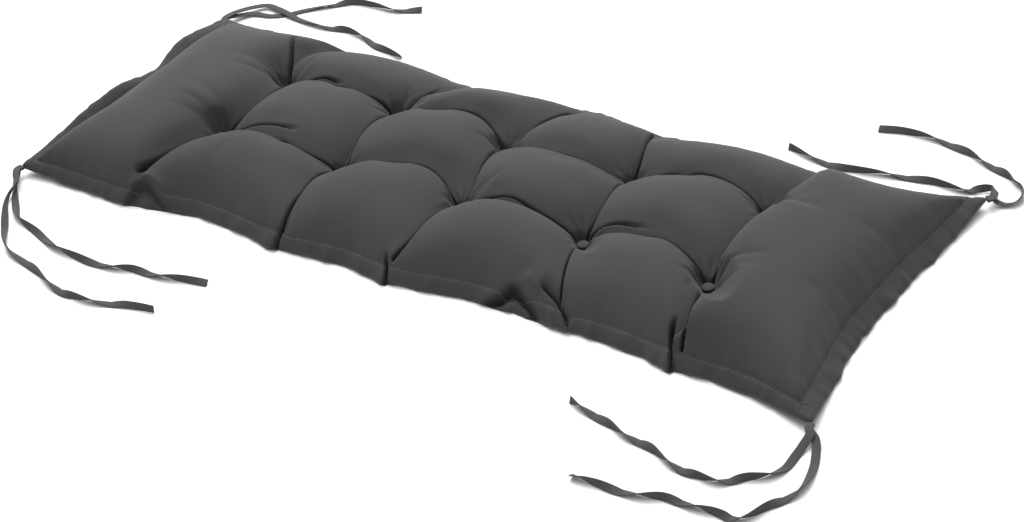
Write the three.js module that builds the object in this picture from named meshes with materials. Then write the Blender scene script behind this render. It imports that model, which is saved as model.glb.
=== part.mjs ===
import * as THREE from "three";

// Tufted bench cushion lying on its back, with a tie pair sewn into each corner.
// Millimetres, +X along the bench, +Y towards its back rest, +Z up, floor at zero.

// Driving sizes.
// The plan is drawn from a point this far left of the middle of the cushion.
const PLAN_MIDDLE = 6.5;
const FLANGE = { near: 12, far: 18, left: 16, right: 20, halfThickness: 1.5, cornerHalfThickness: 2.4 };
const SEAM_HEIGHT = 20;
const TUFT = { top: 27, bottom: 9, flat: 17, steepness: 1.8 };
const CROWN = { near: 18, middle: 11, far: 12, end: 42, fullness: 0.5, squareness: 2.2 };
const CREASE = { acrossInner: 22, acrossRim: 18, along: 22, squareness: 2.2 };
const END_PANEL = { rise: 27, squareness: 2.6, length: 230, fade: 42, fadePower: 1.3 };
const UNDERSIDE = { creaseRise: 3, belly: 17 };
const BUTTON = { radius: 8, height: 5, gap: 0.35, sides: 12 };
const TIE = { width: 10, thickness: 1.8, step: 8, lead: 8, gap: 0.35, stack: 1.3 };
const CLOTH_COLOUR = 0x4c4c4c;

// Puffs along the bench and across it, with the mesh steps that each puff gets, eased towards its creases.
const COLUMN_STEPS = [12, 9, 9, 9, 9, 12];
const ROW_STEPS = [8, 8, 8];
const STEP_EASE = 0.6;
const COLUMNS = COLUMN_STEPS.length;
const ROWS = ROW_STEPS.length;

// Sewn corners: the tip of the flange, and the way out of the cushion there.
const CORNERS = {
  nearLeft: { x: -586, y: -217, z: 12, outX: -0.25, outY: -1 },
  nearRight: { x: 590, y: -227, z: 12, outX: 0.2, outY: -1 },
  farLeft: { x: -562, y: 192, z: 12, outX: -0.15, outY: 1 },
  farRight: { x: 599, y: 227, z: 12, outX: 1, outY: 1 },
};

// Outer edge of the flange between the corners, a row at each half puff.
const NEAR_EDGE = [
  { x: -507, y: -216, z: 6 },
  { x: -416, y: -217, z: 5 },
  { x: -300, y: -198, z: 4 },
  { x: -154, y: -211, z: 5 },
  { x: -70, y: -203, z: 4 },
  { x: 10, y: -209, z: 5 },
  { x: 127, y: -193, z: 4 },
  { x: 250, y: -196, z: 6 },
  { x: 325, y: -195, z: 4 },
  { x: 404, y: -203, z: 5 },
  { x: 490, y: -204, z: 5 },
];
const FAR_EDGE = [
  { x: -450, y: 196, z: 8 },
  { x: -330, y: 193, z: 6 },
  { x: -215, y: 198, z: 5 },
  { x: -108, y: 188, z: 7 },
  { x: -15, y: 190, z: 5 },
  { x: 72, y: 200, z: 12 },
  { x: 135, y: 194, z: 6 },
  { x: 198, y: 190, z: 9 },
  { x: 300, y: 200, z: 6 },
  { x: 418, y: 198, z: 7 },
  { x: 510, y: 206, z: 9 },
];
const LEFT_EDGE = [
  { x: -575, y: -164, z: 24 },
  { x: -569, y: -109, z: 34 },
  { x: -567, y: -31, z: 34 },
  { x: -562, y: 35, z: 20 },
  { x: -563, y: 98, z: 32 },
];
const RIGHT_EDGE = [
  { x: 580, y: -143, z: 4 },
  { x: 573, y: -73, z: 4 },
  { x: 576, y: -3, z: 4 },
  { x: 581, y: 64, z: 4 },
  { x: 590, y: 133, z: 5 },
];

// Tufts, one near and one far in each row of the table.
const TUFT_COLUMNS = [
  { nearX: -347, nearY: -73, farX: -340, farY: 60 },
  { nearX: -152, nearY: -74, farX: -160, farY: 61 },
  { nearX: 31, nearY: -73, farX: 17, farY: 52 },
  { nearX: 209, nearY: -73, farX: 203, farY: 57 },
  { nearX: 386, nearY: -83, farX: 389, farY: 62 },
];

// How far the creases across the bench bend aside in each row of puffs, to the right where positive.
const BOWS_ACROSS = [
  { near: 0, middle: 4, far: -18 },
  { near: -12, middle: -8, far: -3 },
  { near: 2, middle: 0, far: -4 },
  { near: -8, middle: 2, far: -16 },
  { near: 8, middle: -4, far: 2 },
];

// How far the creases along the bench bend to the far side, in the first and second half of each puff.
const BOWS_NEAR_TUFTS = [
  { first: 16, second: -8 },
  { first: 8, second: 14 },
  { first: 2, second: 0 },
  { first: 14, second: -4 },
];
const BOWS_FAR_TUFTS = [
  { first: 0, second: 4 },
  { first: 8, second: 16 },
  { first: -2, second: -4 },
  { first: 10, second: 16 },
];

// Outline of a covered button, as shares of its radius and height, from underneath to the top.
const BUTTON_OUTLINE = [
  { radius: 0, height: 0 },
  { radius: 0.85, height: 0 },
  { radius: 1, height: 0.3 },
  { radius: 0.9, height: 0.7 },
  { radius: 0.5, height: 0.95 },
  { radius: 0, height: 1 },
];

// Tie tails: centre line on the floor, the least height there, and the turn of the tape in degrees.
const TIES = {
  tie_near_left_a: {
    corner: "nearLeft",
    layer: 1,
    route: [
      { x: -583, y: -233, z: 13.5, turn: 15 },
      { x: -569, y: -249, z: 12, turn: 45 },
      { x: -563, y: -273, z: 6, turn: 85 },
      { x: -536, y: -309, z: 0, turn: 150 },
      { x: -506, y: -342, z: 0, turn: 230 },
      { x: -485, y: -358, z: 0, turn: 290 },
      { x: -433, y: -373, z: 0, turn: 384 },
      { x: -387, y: -389, z: 0, turn: 478 },
      { x: -350, y: -398, z: 0, turn: 577 },
      { x: -310, y: -394, z: 0, turn: 676 },
      { x: -266, y: -383, z: 0, turn: 760 },
      { x: -225, y: -376, z: 0, turn: 800 },
    ],
  },
  tie_near_left_b: {
    corner: "nearLeft",
    layer: -1,
    route: [
      { x: -583, y: -233, z: 8, turn: 15 },
      { x: -571, y: -251, z: 4, turn: 50 },
      { x: -545, y: -279, z: 2, turn: -5 },
      { x: -517, y: -302, z: 0, turn: -73 },
      { x: -472, y: -315, z: 0, turn: -155 },
      { x: -426, y: -329, z: 0, turn: -236 },
      { x: -376, y: -334, z: 0, turn: -320 },
      { x: -331, y: -329, z: 0, turn: -403 },
      { x: -299, y: -322, z: 0, turn: -493 },
      { x: -262, y: -318, z: 0, turn: -583 },
      { x: -230, y: -312, z: 0, turn: -655 },
      { x: -199, y: -304, z: 0, turn: -700 },
    ],
  },
  tie_far_left_a: {
    corner: "farLeft",
    layer: 1,
    route: [
      { x: -562, y: 216, z: 11, turn: 0 },
      { x: -551, y: 243, z: 7, turn: 0 },
      { x: -535, y: 259, z: 5, turn: 0 },
      { x: -515, y: 258, z: 4.8, turn: 0 },
      { x: -493, y: 253, z: 4.8, turn: -2 },
      { x: -470, y: 249, z: 2, turn: -10 },
      { x: -426, y: 246, z: 0, turn: -40 },
      { x: -394, y: 249, z: 0, turn: 45 },
      { x: -353, y: 246, z: 0, turn: 135 },
      { x: -316, y: 231, z: 0, turn: 215 },
      { x: -270, y: 222, z: 0, turn: 300 },
    ],
  },
  tie_far_left_b: {
    corner: "farLeft",
    layer: -1,
    route: [
      { x: -559, y: 214, z: 7, turn: 0 },
      { x: -544, y: 234, z: 3.4, turn: 0 },
      { x: -515, y: 242, z: 1.2, turn: 0 },
      { x: -496, y: 254, z: 1.2, turn: 0 },
      { x: -478, y: 273, z: 0, turn: -5 },
      { x: -453, y: 295, z: 0, turn: -30 },
      { x: -424, y: 315, z: 0, turn: 55 },
      { x: -385, y: 322, z: 0, turn: 100 },
      { x: -353, y: 324, z: 0, turn: 146 },
      { x: -333, y: 331, z: 0, turn: 190 },
      { x: -313, y: 338, z: 0, turn: 225 },
    ],
  },
  tie_far_right_a: {
    corner: "farRight",
    layer: 1,
    route: [
      { x: 603, y: 243, z: 13, turn: 15 },
      { x: 597, y: 255, z: 9, turn: 70 },
      { x: 588, y: 257, z: 6, turn: 100 },
      { x: 576, y: 250, z: 5, turn: 150 },
      { x: 562, y: 245, z: 0, turn: 217 },
      { x: 515, y: 244, z: 0, turn: 307 },
      { x: 466, y: 239, z: 0, turn: 397 },
      { x: 410, y: 227, z: 0, turn: 489 },
      { x: 363, y: 233, z: 0, turn: 581 },
      { x: 325, y: 241, z: 0, turn: 650 },
    ],
  },
  tie_far_right_b: {
    corner: "farRight",
    layer: -1,
    route: [
      { x: 609, y: 234, z: 7, turn: 0 },
      { x: 618, y: 238, z: 3, turn: -10 },
      { x: 628, y: 245, z: 0, turn: -42 },
      { x: 631, y: 259, z: 0, turn: -60 },
      { x: 625, y: 274, z: 0, turn: -95 },
      { x: 612, y: 285, z: 0, turn: -129 },
      { x: 588, y: 298, z: 0, turn: -40 },
      { x: 559, y: 310, z: 0, turn: 44 },
      { x: 528, y: 321, z: 0, turn: 130 },
      { x: 486, y: 332, z: 0, turn: 219 },
      { x: 447, y: 330, z: 0, turn: 290 },
      { x: 411, y: 324, z: 0, turn: 330 },
    ],
  },
  tie_near_right_a: {
    corner: "nearRight",
    layer: 1,
    route: [
      { x: 596, y: -241, z: 11.5, turn: 0 },
      { x: 595, y: -255, z: 6, turn: -20 },
      { x: 594, y: -270, z: 3, turn: -25 },
      { x: 592, y: -293, z: 0, turn: 0 },
      { x: 583, y: -310, z: 0, turn: 45 },
      { x: 559, y: -329, z: 0, turn: 135 },
      { x: 537, y: -343, z: 0, turn: 224 },
      { x: 506, y: -346, z: 0, turn: 319 },
      { x: 476, y: -340, z: 0, turn: 414 },
      { x: 442, y: -328, z: 0, turn: 503 },
      { x: 409, y: -322, z: 0, turn: 593 },
      { x: 378, y: -313, z: 0, turn: 683 },
      { x: 341, y: -303, z: 0, turn: 773 },
      { x: 326, y: -300, z: 0, turn: 830 },
    ],
  },
  tie_near_right_b: {
    corner: "nearRight",
    layer: -1,
    route: [
      { x: 602, y: -241, z: 6.5, turn: 0 },
      { x: 611, y: -257, z: 2.5, turn: -15 },
      { x: 620, y: -284, z: 0, turn: 10 },
      { x: 622, y: -317, z: 0, turn: 56 },
      { x: 607, y: -349, z: 0, turn: -40 },
      { x: 586, y: -383, z: 0, turn: -135 },
      { x: 565, y: -387, z: 0, turn: -223 },
      { x: 535, y: -388, z: 0, turn: -312 },
      { x: 503, y: -390, z: 0, turn: -403 },
      { x: 471, y: -399, z: 0, turn: -494 },
      { x: 435, y: -404, z: 0, turn: -582 },
      { x: 400, y: -404, z: 0, turn: -671 },
      { x: 390, y: -404, z: 0, turn: -690 },
    ],
  },
};

const { lerp, clamp, degToRad } = THREE.MathUtils;

// A smooth edge of the flange from one corner to the next.
function edgeCurve(start, rows, end) {
  const points = [start, ...rows, end].map((row) => new THREE.Vector3(row.x, row.y, row.z));
  return new THREE.CatmullRomCurve3(points, false, "centripetal");
}

const EDGES = {
  near: edgeCurve(CORNERS.nearLeft, NEAR_EDGE, CORNERS.nearRight),
  far: edgeCurve(CORNERS.farLeft, FAR_EDGE, CORNERS.farRight),
  left: edgeCurve(CORNERS.nearLeft, LEFT_EDGE, CORNERS.farLeft),
  right: edgeCurve(CORNERS.nearRight, RIGHT_EDGE, CORNERS.farRight),
};

// Share of an edge that the flange of the neighbouring edge takes up at each corner.
const CORNER_SHARE = { along: 0.018, across: 0.052 };

// A point of the flange's outer edge, at u puffs along the bench or v puffs across it.
function flangePoint(edge, puffs, count, cornerShare) {
  return edge.getPoint(lerp(cornerShare, 1 - cornerShare, puffs / count));
}

const nearFlange = (u) => flangePoint(EDGES.near, u, COLUMNS, CORNER_SHARE.along);
const farFlange = (u) => flangePoint(EDGES.far, u, COLUMNS, CORNER_SHARE.along);
const leftFlange = (v) => flangePoint(EDGES.left, v, ROWS, CORNER_SHARE.across);
const rightFlange = (v) => flangePoint(EDGES.right, v, ROWS, CORNER_SHARE.across);

// The sewn line lies one flange width inside the outer edge.
const nearSeam = (u) => nearFlange(u).add(new THREE.Vector3(0, FLANGE.near, 0));
const farSeam = (u) => farFlange(u).add(new THREE.Vector3(0, -FLANGE.far, 0));
const leftSeam = (v) => leftFlange(v).add(new THREE.Vector3(FLANGE.left, 0, 0));
const rightSeam = (v) => rightFlange(v).add(new THREE.Vector3(-FLANGE.right, 0, 0));

// Where creases meet: the tufts inside, the sewn line at the rim.
function nodePoint(column, row) {
  if (column > 0 && column < COLUMNS && row > 0 && row < ROWS) {
    const tuft = TUFT_COLUMNS[column - 1];
    const isNear = row === 1;
    return new THREE.Vector3(isNear ? tuft.nearX : tuft.farX, isNear ? tuft.nearY : tuft.farY, 0);
  }
  if (column === 0) return leftSeam(row);
  if (column === COLUMNS) return rightSeam(row);
  return row === 0 ? nearSeam(column) : farSeam(column);
}

// Plan line of the crease across the bench at a column, which is the sewn line at the ends.
function acrossLine(column, v) {
  if (column === 0) return leftSeam(v);
  if (column === COLUMNS) return rightSeam(v);
  const row = Math.min(Math.floor(v), ROWS - 1);
  const bows = BOWS_ACROSS[column - 1];
  const bow = [bows.near, bows.middle, bows.far][row];
  const line = nodePoint(column, row).lerp(nodePoint(column, row + 1), v - row);
  line.x += bow * arch(v - row, 2);
  return line;
}

// Plan line of the crease along the bench at a row, which is the sewn line at the sides.
function alongLine(row, u) {
  if (row === 0) return nearSeam(u);
  if (row === ROWS) return farSeam(u);
  const column = Math.min(Math.floor(u), COLUMNS - 1);
  const s = u - column;
  const line = nodePoint(column, row).lerp(nodePoint(column + 1, row), s);
  const bow = (row === 1 ? BOWS_NEAR_TUFTS : BOWS_FAR_TUFTS)[column - 1];
  if (bow) line.y += 3 * s * (1 - s) * lerp(bow.first, bow.second, s);
  return line;
}

// Plan position of a point of the puffed part, stretched between the four creases round it.
function puffPlan(u, v) {
  const column = Math.min(Math.floor(u), COLUMNS - 1);
  const row = Math.min(Math.floor(v), ROWS - 1);
  const s = u - column;
  const t = v - row;
  const near = nodePoint(column, row).lerp(nodePoint(column + 1, row), s);
  const far = nodePoint(column, row + 1).lerp(nodePoint(column + 1, row + 1), s);
  return acrossLine(column, v)
    .lerp(acrossLine(column + 1, v), s)
    .add(alongLine(row, u).lerp(alongLine(row + 1, u), t))
    .sub(near.lerp(far, t));
}

// A round arch over 0 to 1, flatter on top and steeper at its feet as squareness grows.
const arch = (share, squareness) => 1 - Math.abs(2 * share - 1) ** squareness;
const dome = (share) => Math.max(arch(share, CROWN.squareness), 0) ** CROWN.fullness;

const isTuft = (column, row) => column > 0 && column < COLUMNS && row > 0 && row < ROWS;

// Heights of one face of the cushion along its creases, from its seam, tuft and arch heights.
function face(seam, tuft, arches) {
  const node = (column, row) => (isTuft(column, row) ? tuft : seam);
  return {
    across(column, v) {
      if (column === 0 || column === COLUMNS) return seam;
      const row = Math.min(Math.floor(v), ROWS - 1);
      const rise = row === 1 ? arches.acrossInner : arches.acrossRim;
      const base = lerp(node(column, row), node(column, row + 1), v - row);
      return base + rise * arch(v - row, CREASE.squareness);
    },
    along(row, u) {
      if (row === 0 || row === ROWS) return seam;
      const column = Math.min(Math.floor(u), COLUMNS - 1);
      const base = lerp(node(column, row), node(column + 1, row), u - column);
      return base + arches.along * arch(u - column, CREASE.squareness);
    },
    node,
  };
}

const TOP = face(SEAM_HEIGHT + FLANGE.halfThickness, TUFT.top, CREASE);
const BOTTOM = face(SEAM_HEIGHT - FLANGE.halfThickness, TUFT.bottom, {
  acrossInner: UNDERSIDE.creaseRise - TUFT.bottom,
  acrossRim: UNDERSIDE.creaseRise - TUFT.bottom,
  along: UNDERSIDE.creaseRise - TUFT.bottom,
});

// The puff that holds a point: an end puff spans the whole width of the cushion.
function puffAt(u, v) {
  const column = Math.min(Math.floor(u), COLUMNS - 1);
  const isEnd = column === 0 || column === COLUMNS - 1;
  const row = isEnd ? 0 : Math.min(Math.floor(v), ROWS - 1);
  const rows = isEnd ? ROWS : 1;
  const crown = isEnd ? CROWN.end : [CROWN.near, CROWN.middle, CROWN.far][row];
  return { column, row, rows, s: u - column, t: (v - row) / rows, crown };
}

// Height of a face stretched between the four creases round a puff.
function stretched(surface, puff, u, v) {
  const { column, row, rows, s, t } = puff;
  const left = surface.across(column, v);
  const right = surface.across(column + 1, v);
  const near = surface.along(row, u);
  const far = surface.along(row + rows, u);
  const nearNodes = lerp(surface.node(column, row), surface.node(column + 1, row), s);
  const farNodes = lerp(surface.node(column, row + rows), surface.node(column + 1, row + rows), s);
  return lerp(left, right, s) + lerp(near, far, t) - lerp(nearNodes, farNodes, t);
}

// The highest that the cloth can stand beside a tuft, which pulls it down to a small flat.
function tuftLimit(u, v, plan) {
  const column = clamp(Math.round(u), 1, COLUMNS - 1);
  const row = clamp(Math.round(v), 1, ROWS - 1);
  const tuft = nodePoint(column, row);
  const away = Math.max(Math.abs(plan.x - tuft.x), Math.abs(plan.y - tuft.y));
  return TUFT.top + TUFT.steepness * Math.max(away - TUFT.flat, 0);
}

// Height of an end panel under its crown: the scallops of its tufted crease die away inside it.
function endLevel({ column, s, t }, v) {
  const isLeft = column === 0;
  const seam = TOP.node(0, 0);
  const toward = isLeft ? s : 1 - s;
  const crease = TOP.across(isLeft ? 1 : COLUMNS - 1, v);
  const level = seam + END_PANEL.rise * arch(t, END_PANEL.squareness);
  const away = ((1 - toward) * END_PANEL.length) / END_PANEL.fade;
  return lerp(seam, level, toward) + (crease - level) * Math.exp(-(away ** END_PANEL.fadePower));
}

function topPoint(u, v) {
  const puff = puffAt(u, v);
  const plan = puffPlan(u, v);
  const level = puff.rows === ROWS ? endLevel(puff, v) : stretched(TOP, puff, u, v);
  const puffed = level + puff.crown * dome(puff.s) * dome(puff.t);
  return plan.setZ(Math.min(puffed, tuftLimit(u, v, plan)));
}

function bottomPoint(u, v) {
  const puff = puffAt(u, v);
  const sag = UNDERSIDE.belly * dome(puff.s) * dome(puff.t);
  return puffPlan(u, v).setZ(Math.max(stretched(BOTTOM, puff, u, v) - sag, 0));
}

// Grid lines over the puffs, closer together beside the creases.
function gridLines(steps) {
  const lines = [0];
  steps.forEach((count, puff) => {
    for (let step = 1; step <= count; step += 1) {
      const even = step / count;
      const eased = (1 - Math.cos(Math.PI * even)) / 2;
      lines.push(puff + lerp(even, eased, STEP_EASE));
    }
  });
  return lines;
}

const U_LINES = gridLines(COLUMN_STEPS);
const V_LINES = gridLines(ROW_STEPS);

// A point of the flange's outer edge on grid line i along or j across, with its corners.
function flangeEdge(i, j) {
  const isLeft = i < 0;
  const isRight = i >= U_LINES.length;
  const isNear = j < 0;
  const isFar = j >= V_LINES.length;
  if ((isLeft || isRight) && (isNear || isFar)) {
    const side = isLeft ? "Left" : "Right";
    const corner = CORNERS[(isNear ? "near" : "far") + side];
    return { point: new THREE.Vector3(corner.x, corner.y, corner.z), isCorner: true };
  }
  if (isNear) return { point: nearFlange(U_LINES[i]), isCorner: false };
  if (isFar) return { point: farFlange(U_LINES[i]), isCorner: false };
  const point = isLeft ? leftFlange(V_LINES[j]) : rightFlange(V_LINES[j]);
  return { point, isCorner: false };
}

// The filled cushion: a box whose top and bottom are puffed and whose rim is the flange.
function cushionGeometry() {
  const across = U_LINES.length + 1;
  const deep = V_LINES.length + 1;
  const geometry = new THREE.BoxGeometry(across, deep, 1, across, deep, 1);
  const position = geometry.getAttribute("position");
  for (let k = 0; k < position.count; k += 1) {
    const i = Math.round(position.getX(k) + across / 2) - 1;
    const j = Math.round(position.getY(k) + deep / 2) - 1;
    const isTop = position.getZ(k) > 0;
    const isInside = i >= 0 && j >= 0 && i < U_LINES.length && j < V_LINES.length;
    let point;
    if (isInside) {
      point = isTop ? topPoint(U_LINES[i], V_LINES[j]) : bottomPoint(U_LINES[i], V_LINES[j]);
    } else {
      const edge = flangeEdge(i, j);
      const half = edge.isCorner ? FLANGE.cornerHalfThickness : FLANGE.halfThickness;
      point = edge.point.setZ(edge.point.z + (isTop ? half : -half));
    }
    position.setXYZ(k, point.x, point.y, point.z);
  }
  return geometry;
}

// A small covered button with a domed top, standing on the origin.
function buttonGeometry() {
  const profile = BUTTON_OUTLINE.map(
    (row) => new THREE.Vector2(row.radius * BUTTON.radius, row.height * BUTTON.height),
  );
  return new THREE.LatheGeometry(profile, BUTTON.sides).rotateX(Math.PI / 2);
}

// The lowest centre line of the tape on the floor at this turn.
function restingHeight(turn) {
  const standing = Math.abs(Math.sin(turn)) * TIE.width;
  const lying = Math.abs(Math.cos(turn)) * TIE.thickness;
  return (standing + lying) / 2 + TIE.gap;
}

// A flat tape along its route, turned about its centre line as it goes.
function tieGeometry({ corner, layer, route }) {
  const tip = CORNERS[corner];
  const out = new THREE.Vector3(tip.outX, tip.outY, 0).normalize();
  const root = new THREE.Vector3(tip.x, tip.y, tip.z + layer * TIE.stack);
  const points = [
    root.clone().addScaledVector(out, TIE.gap),
    root.clone().addScaledVector(out, TIE.lead),
    ...route.map((row) => new THREE.Vector3(row.x, row.y, row.z)),
  ];
  const turns = [0, 0, ...route.map((row) => degToRad(row.turn))];
  const curve = new THREE.CatmullRomCurve3(points, false, "centripetal");
  const steps = Math.round(curve.getLength() / TIE.step);
  const geometry = new THREE.BoxGeometry(steps, TIE.width, TIE.thickness, steps, 1, 1);
  const position = geometry.getAttribute("position");
  for (let k = 0; k < position.count; k += 1) {
    const along = curve.getUtoTmapping((position.getX(k) + steps / 2) / steps);
    const leg = Math.min(Math.floor(along * (points.length - 1)), points.length - 2);
    const turn = lerp(turns[leg], turns[leg + 1], along * (points.length - 1) - leg);
    const centre = curve.getPoint(along);
    const forward = curve.getTangent(along).setZ(0).normalize();
    const side = new THREE.Vector3(-forward.y * Math.cos(turn), forward.x * Math.cos(turn), Math.sin(turn));
    const thick = forward.clone().cross(side);
    centre.setZ(Math.max(centre.z, restingHeight(turn)));
    centre.addScaledVector(side, position.getY(k)).addScaledVector(thick, position.getZ(k));
    position.setXYZ(k, centre.x, centre.y, centre.z);
  }
  return geometry;
}

function clothMaterial() {
  return new THREE.MeshStandardMaterial({ color: CLOTH_COLOUR, roughness: 0.9, metalness: 0 });
}

function namedMesh(name, geometry) {
  const mesh = new THREE.Mesh(geometry, clothMaterial());
  mesh.name = name;
  return mesh;
}

function buildButtons() {
  const group = new THREE.Group();
  for (let column = 1; column < COLUMNS; column += 1) {
    for (let row = 1; row < ROWS; row += 1) {
      const side = row === 1 ? "near" : "far";
      const button = namedMesh(`button_${side}_${column}`, buttonGeometry());
      button.position.copy(nodePoint(column, row)).setZ(TUFT.top + BUTTON.gap);
      group.add(button);
    }
  }
  return group;
}

function buildTies() {
  const group = new THREE.Group();
  Object.entries(TIES).forEach(([name, tie]) => group.add(namedMesh(name, tieGeometry(tie))));
  return group;
}

const cushion = new THREE.Group();
cushion.add(namedMesh("cushion", cushionGeometry()));
cushion.add(buildButtons());
cushion.add(buildTies());
cushion.position.x = -PLAN_MIDDLE;

export default cushion;
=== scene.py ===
import logging
import math
from dataclasses import dataclass, field
from enum import Enum

import bpy
import numpy as np
from mathutils import Matrix, Vector


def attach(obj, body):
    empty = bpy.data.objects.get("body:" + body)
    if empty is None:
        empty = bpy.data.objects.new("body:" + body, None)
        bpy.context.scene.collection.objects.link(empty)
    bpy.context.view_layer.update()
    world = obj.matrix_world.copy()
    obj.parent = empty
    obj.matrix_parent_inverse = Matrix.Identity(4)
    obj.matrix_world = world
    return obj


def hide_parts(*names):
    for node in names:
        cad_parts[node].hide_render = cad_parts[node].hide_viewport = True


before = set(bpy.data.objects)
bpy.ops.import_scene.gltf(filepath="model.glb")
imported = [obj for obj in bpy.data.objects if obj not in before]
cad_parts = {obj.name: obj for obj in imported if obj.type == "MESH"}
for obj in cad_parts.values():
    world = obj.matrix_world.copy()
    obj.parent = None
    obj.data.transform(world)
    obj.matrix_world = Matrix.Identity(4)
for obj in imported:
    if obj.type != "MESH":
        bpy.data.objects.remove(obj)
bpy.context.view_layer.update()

MM = 0.001
# Less than any size or share that matters.
TINY = 1e-6
# The plan is drawn from a point 6.5 mm left of the middle of the cushion.
PLAN_MIDDLE = np.array([6.5, 0.0, 0.0])
LOG = logging.getLogger("bench_cushion")
Rows = tuple[tuple[float, ...], ...]


def linear(hex_colour: str) -> tuple[float, float, float, float]:
    """Turns an sRGB hex colour into the linear colour that shaders use.

    Args:
        hex_colour: six hex digits, such as "4c4c4c".

    Returns:
        Red, green, blue and an alpha of 1.
    """
    shares = [int(hex_colour[k : k + 2], 16) / 255 for k in (0, 2, 4)]
    red, green, blue = (s / 12.92 if s <= 0.04045 else ((s + 0.055) / 1.055) ** 2.4 for s in shares)
    return red, green, blue, 1.0


def add_node(
    tree: bpy.types.NodeTree,
    kind: str,
    settings: dict[str, object] | None = None,
    values: dict[str | int, object] | None = None,
    links: dict[str | int, bpy.types.NodeSocket] | None = None,
) -> bpy.types.Node:
    """Adds one node to a tree, with its settings, its sockets' values and its incoming links.

    Args:
        tree: the node tree that gets the node.
        kind: the node's type name.
        settings: properties of the node by name.
        values: default values of input sockets, by name or number.
        links: output sockets of other nodes, by the input socket that they feed.

    Returns:
        The new node.
    """
    node = tree.nodes.new(kind)
    for name, value in (settings or {}).items():
        setattr(node, name, value)
    for socket, value in (values or {}).items():
        node.inputs[socket].default_value = value
    for socket, source in (links or {}).items():
        tree.links.new(source, node.inputs[socket])
    return node


def blank_material(name: str) -> tuple[bpy.types.Material, bpy.types.NodeTree]:
    """Makes a material whose node tree is empty.

    Args:
        name: the material's name.

    Returns:
        The material and its node tree.
    """
    material = bpy.data.materials.new(name)
    material.use_nodes = True
    material.node_tree.nodes.clear()
    return material, material.node_tree


def band_scale(pitch_mm: float) -> float:
    """The scale of a wave texture with this pitch: its bands run 20 radians to the unit."""
    return math.pi / 10 / (pitch_mm * MM)


def placed(points: np.ndarray) -> np.ndarray:
    """Turns points of the plan, in millimetres, into places in the scene, in metres."""
    return (points - PLAN_MIDDLE) * MM


def mesh_piece(name: str, points: np.ndarray, faces: list[list[int]]) -> bpy.types.Object:
    """Makes a smooth-shaded mesh object from points in millimetres.

    Args:
        name: the piece's name.
        points: one row of x, y, z for each point, in millimetres.
        faces: the point numbers of each face.

    Returns:
        The new object, linked to the scene.
    """
    mesh = bpy.data.meshes.new(name)
    mesh.from_pydata(placed(points).tolist(), [], faces)
    mesh.polygons.foreach_set("use_smooth", np.ones(len(faces), dtype=bool))
    mesh.update()
    piece = bpy.data.objects.new(name, mesh)
    bpy.context.scene.collection.objects.link(piece)
    return piece


def cloth_map(piece: bpy.types.Object, along_warp: np.ndarray, along_weft: np.ndarray) -> None:
    """Gives a mesh a map of the flat cloth, in metres, which the weave follows.

    Args:
        piece: the mesh object.
        along_warp: each point's place on the cloth along one set of threads, in millimetres.
        along_weft: its place along the other set, in millimetres.
    """
    mesh = piece.data
    layer = mesh.uv_layers.new(name="Cloth", do_init=False)
    corners = np.zeros(len(mesh.loops), dtype=np.int32)
    mesh.loops.foreach_get("vertex_index", corners)
    flat = np.stack([along_warp[corners], along_weft[corners]], axis=1) * MM
    layer.uv.foreach_set("vector", flat.astype(np.float32).ravel())


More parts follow.
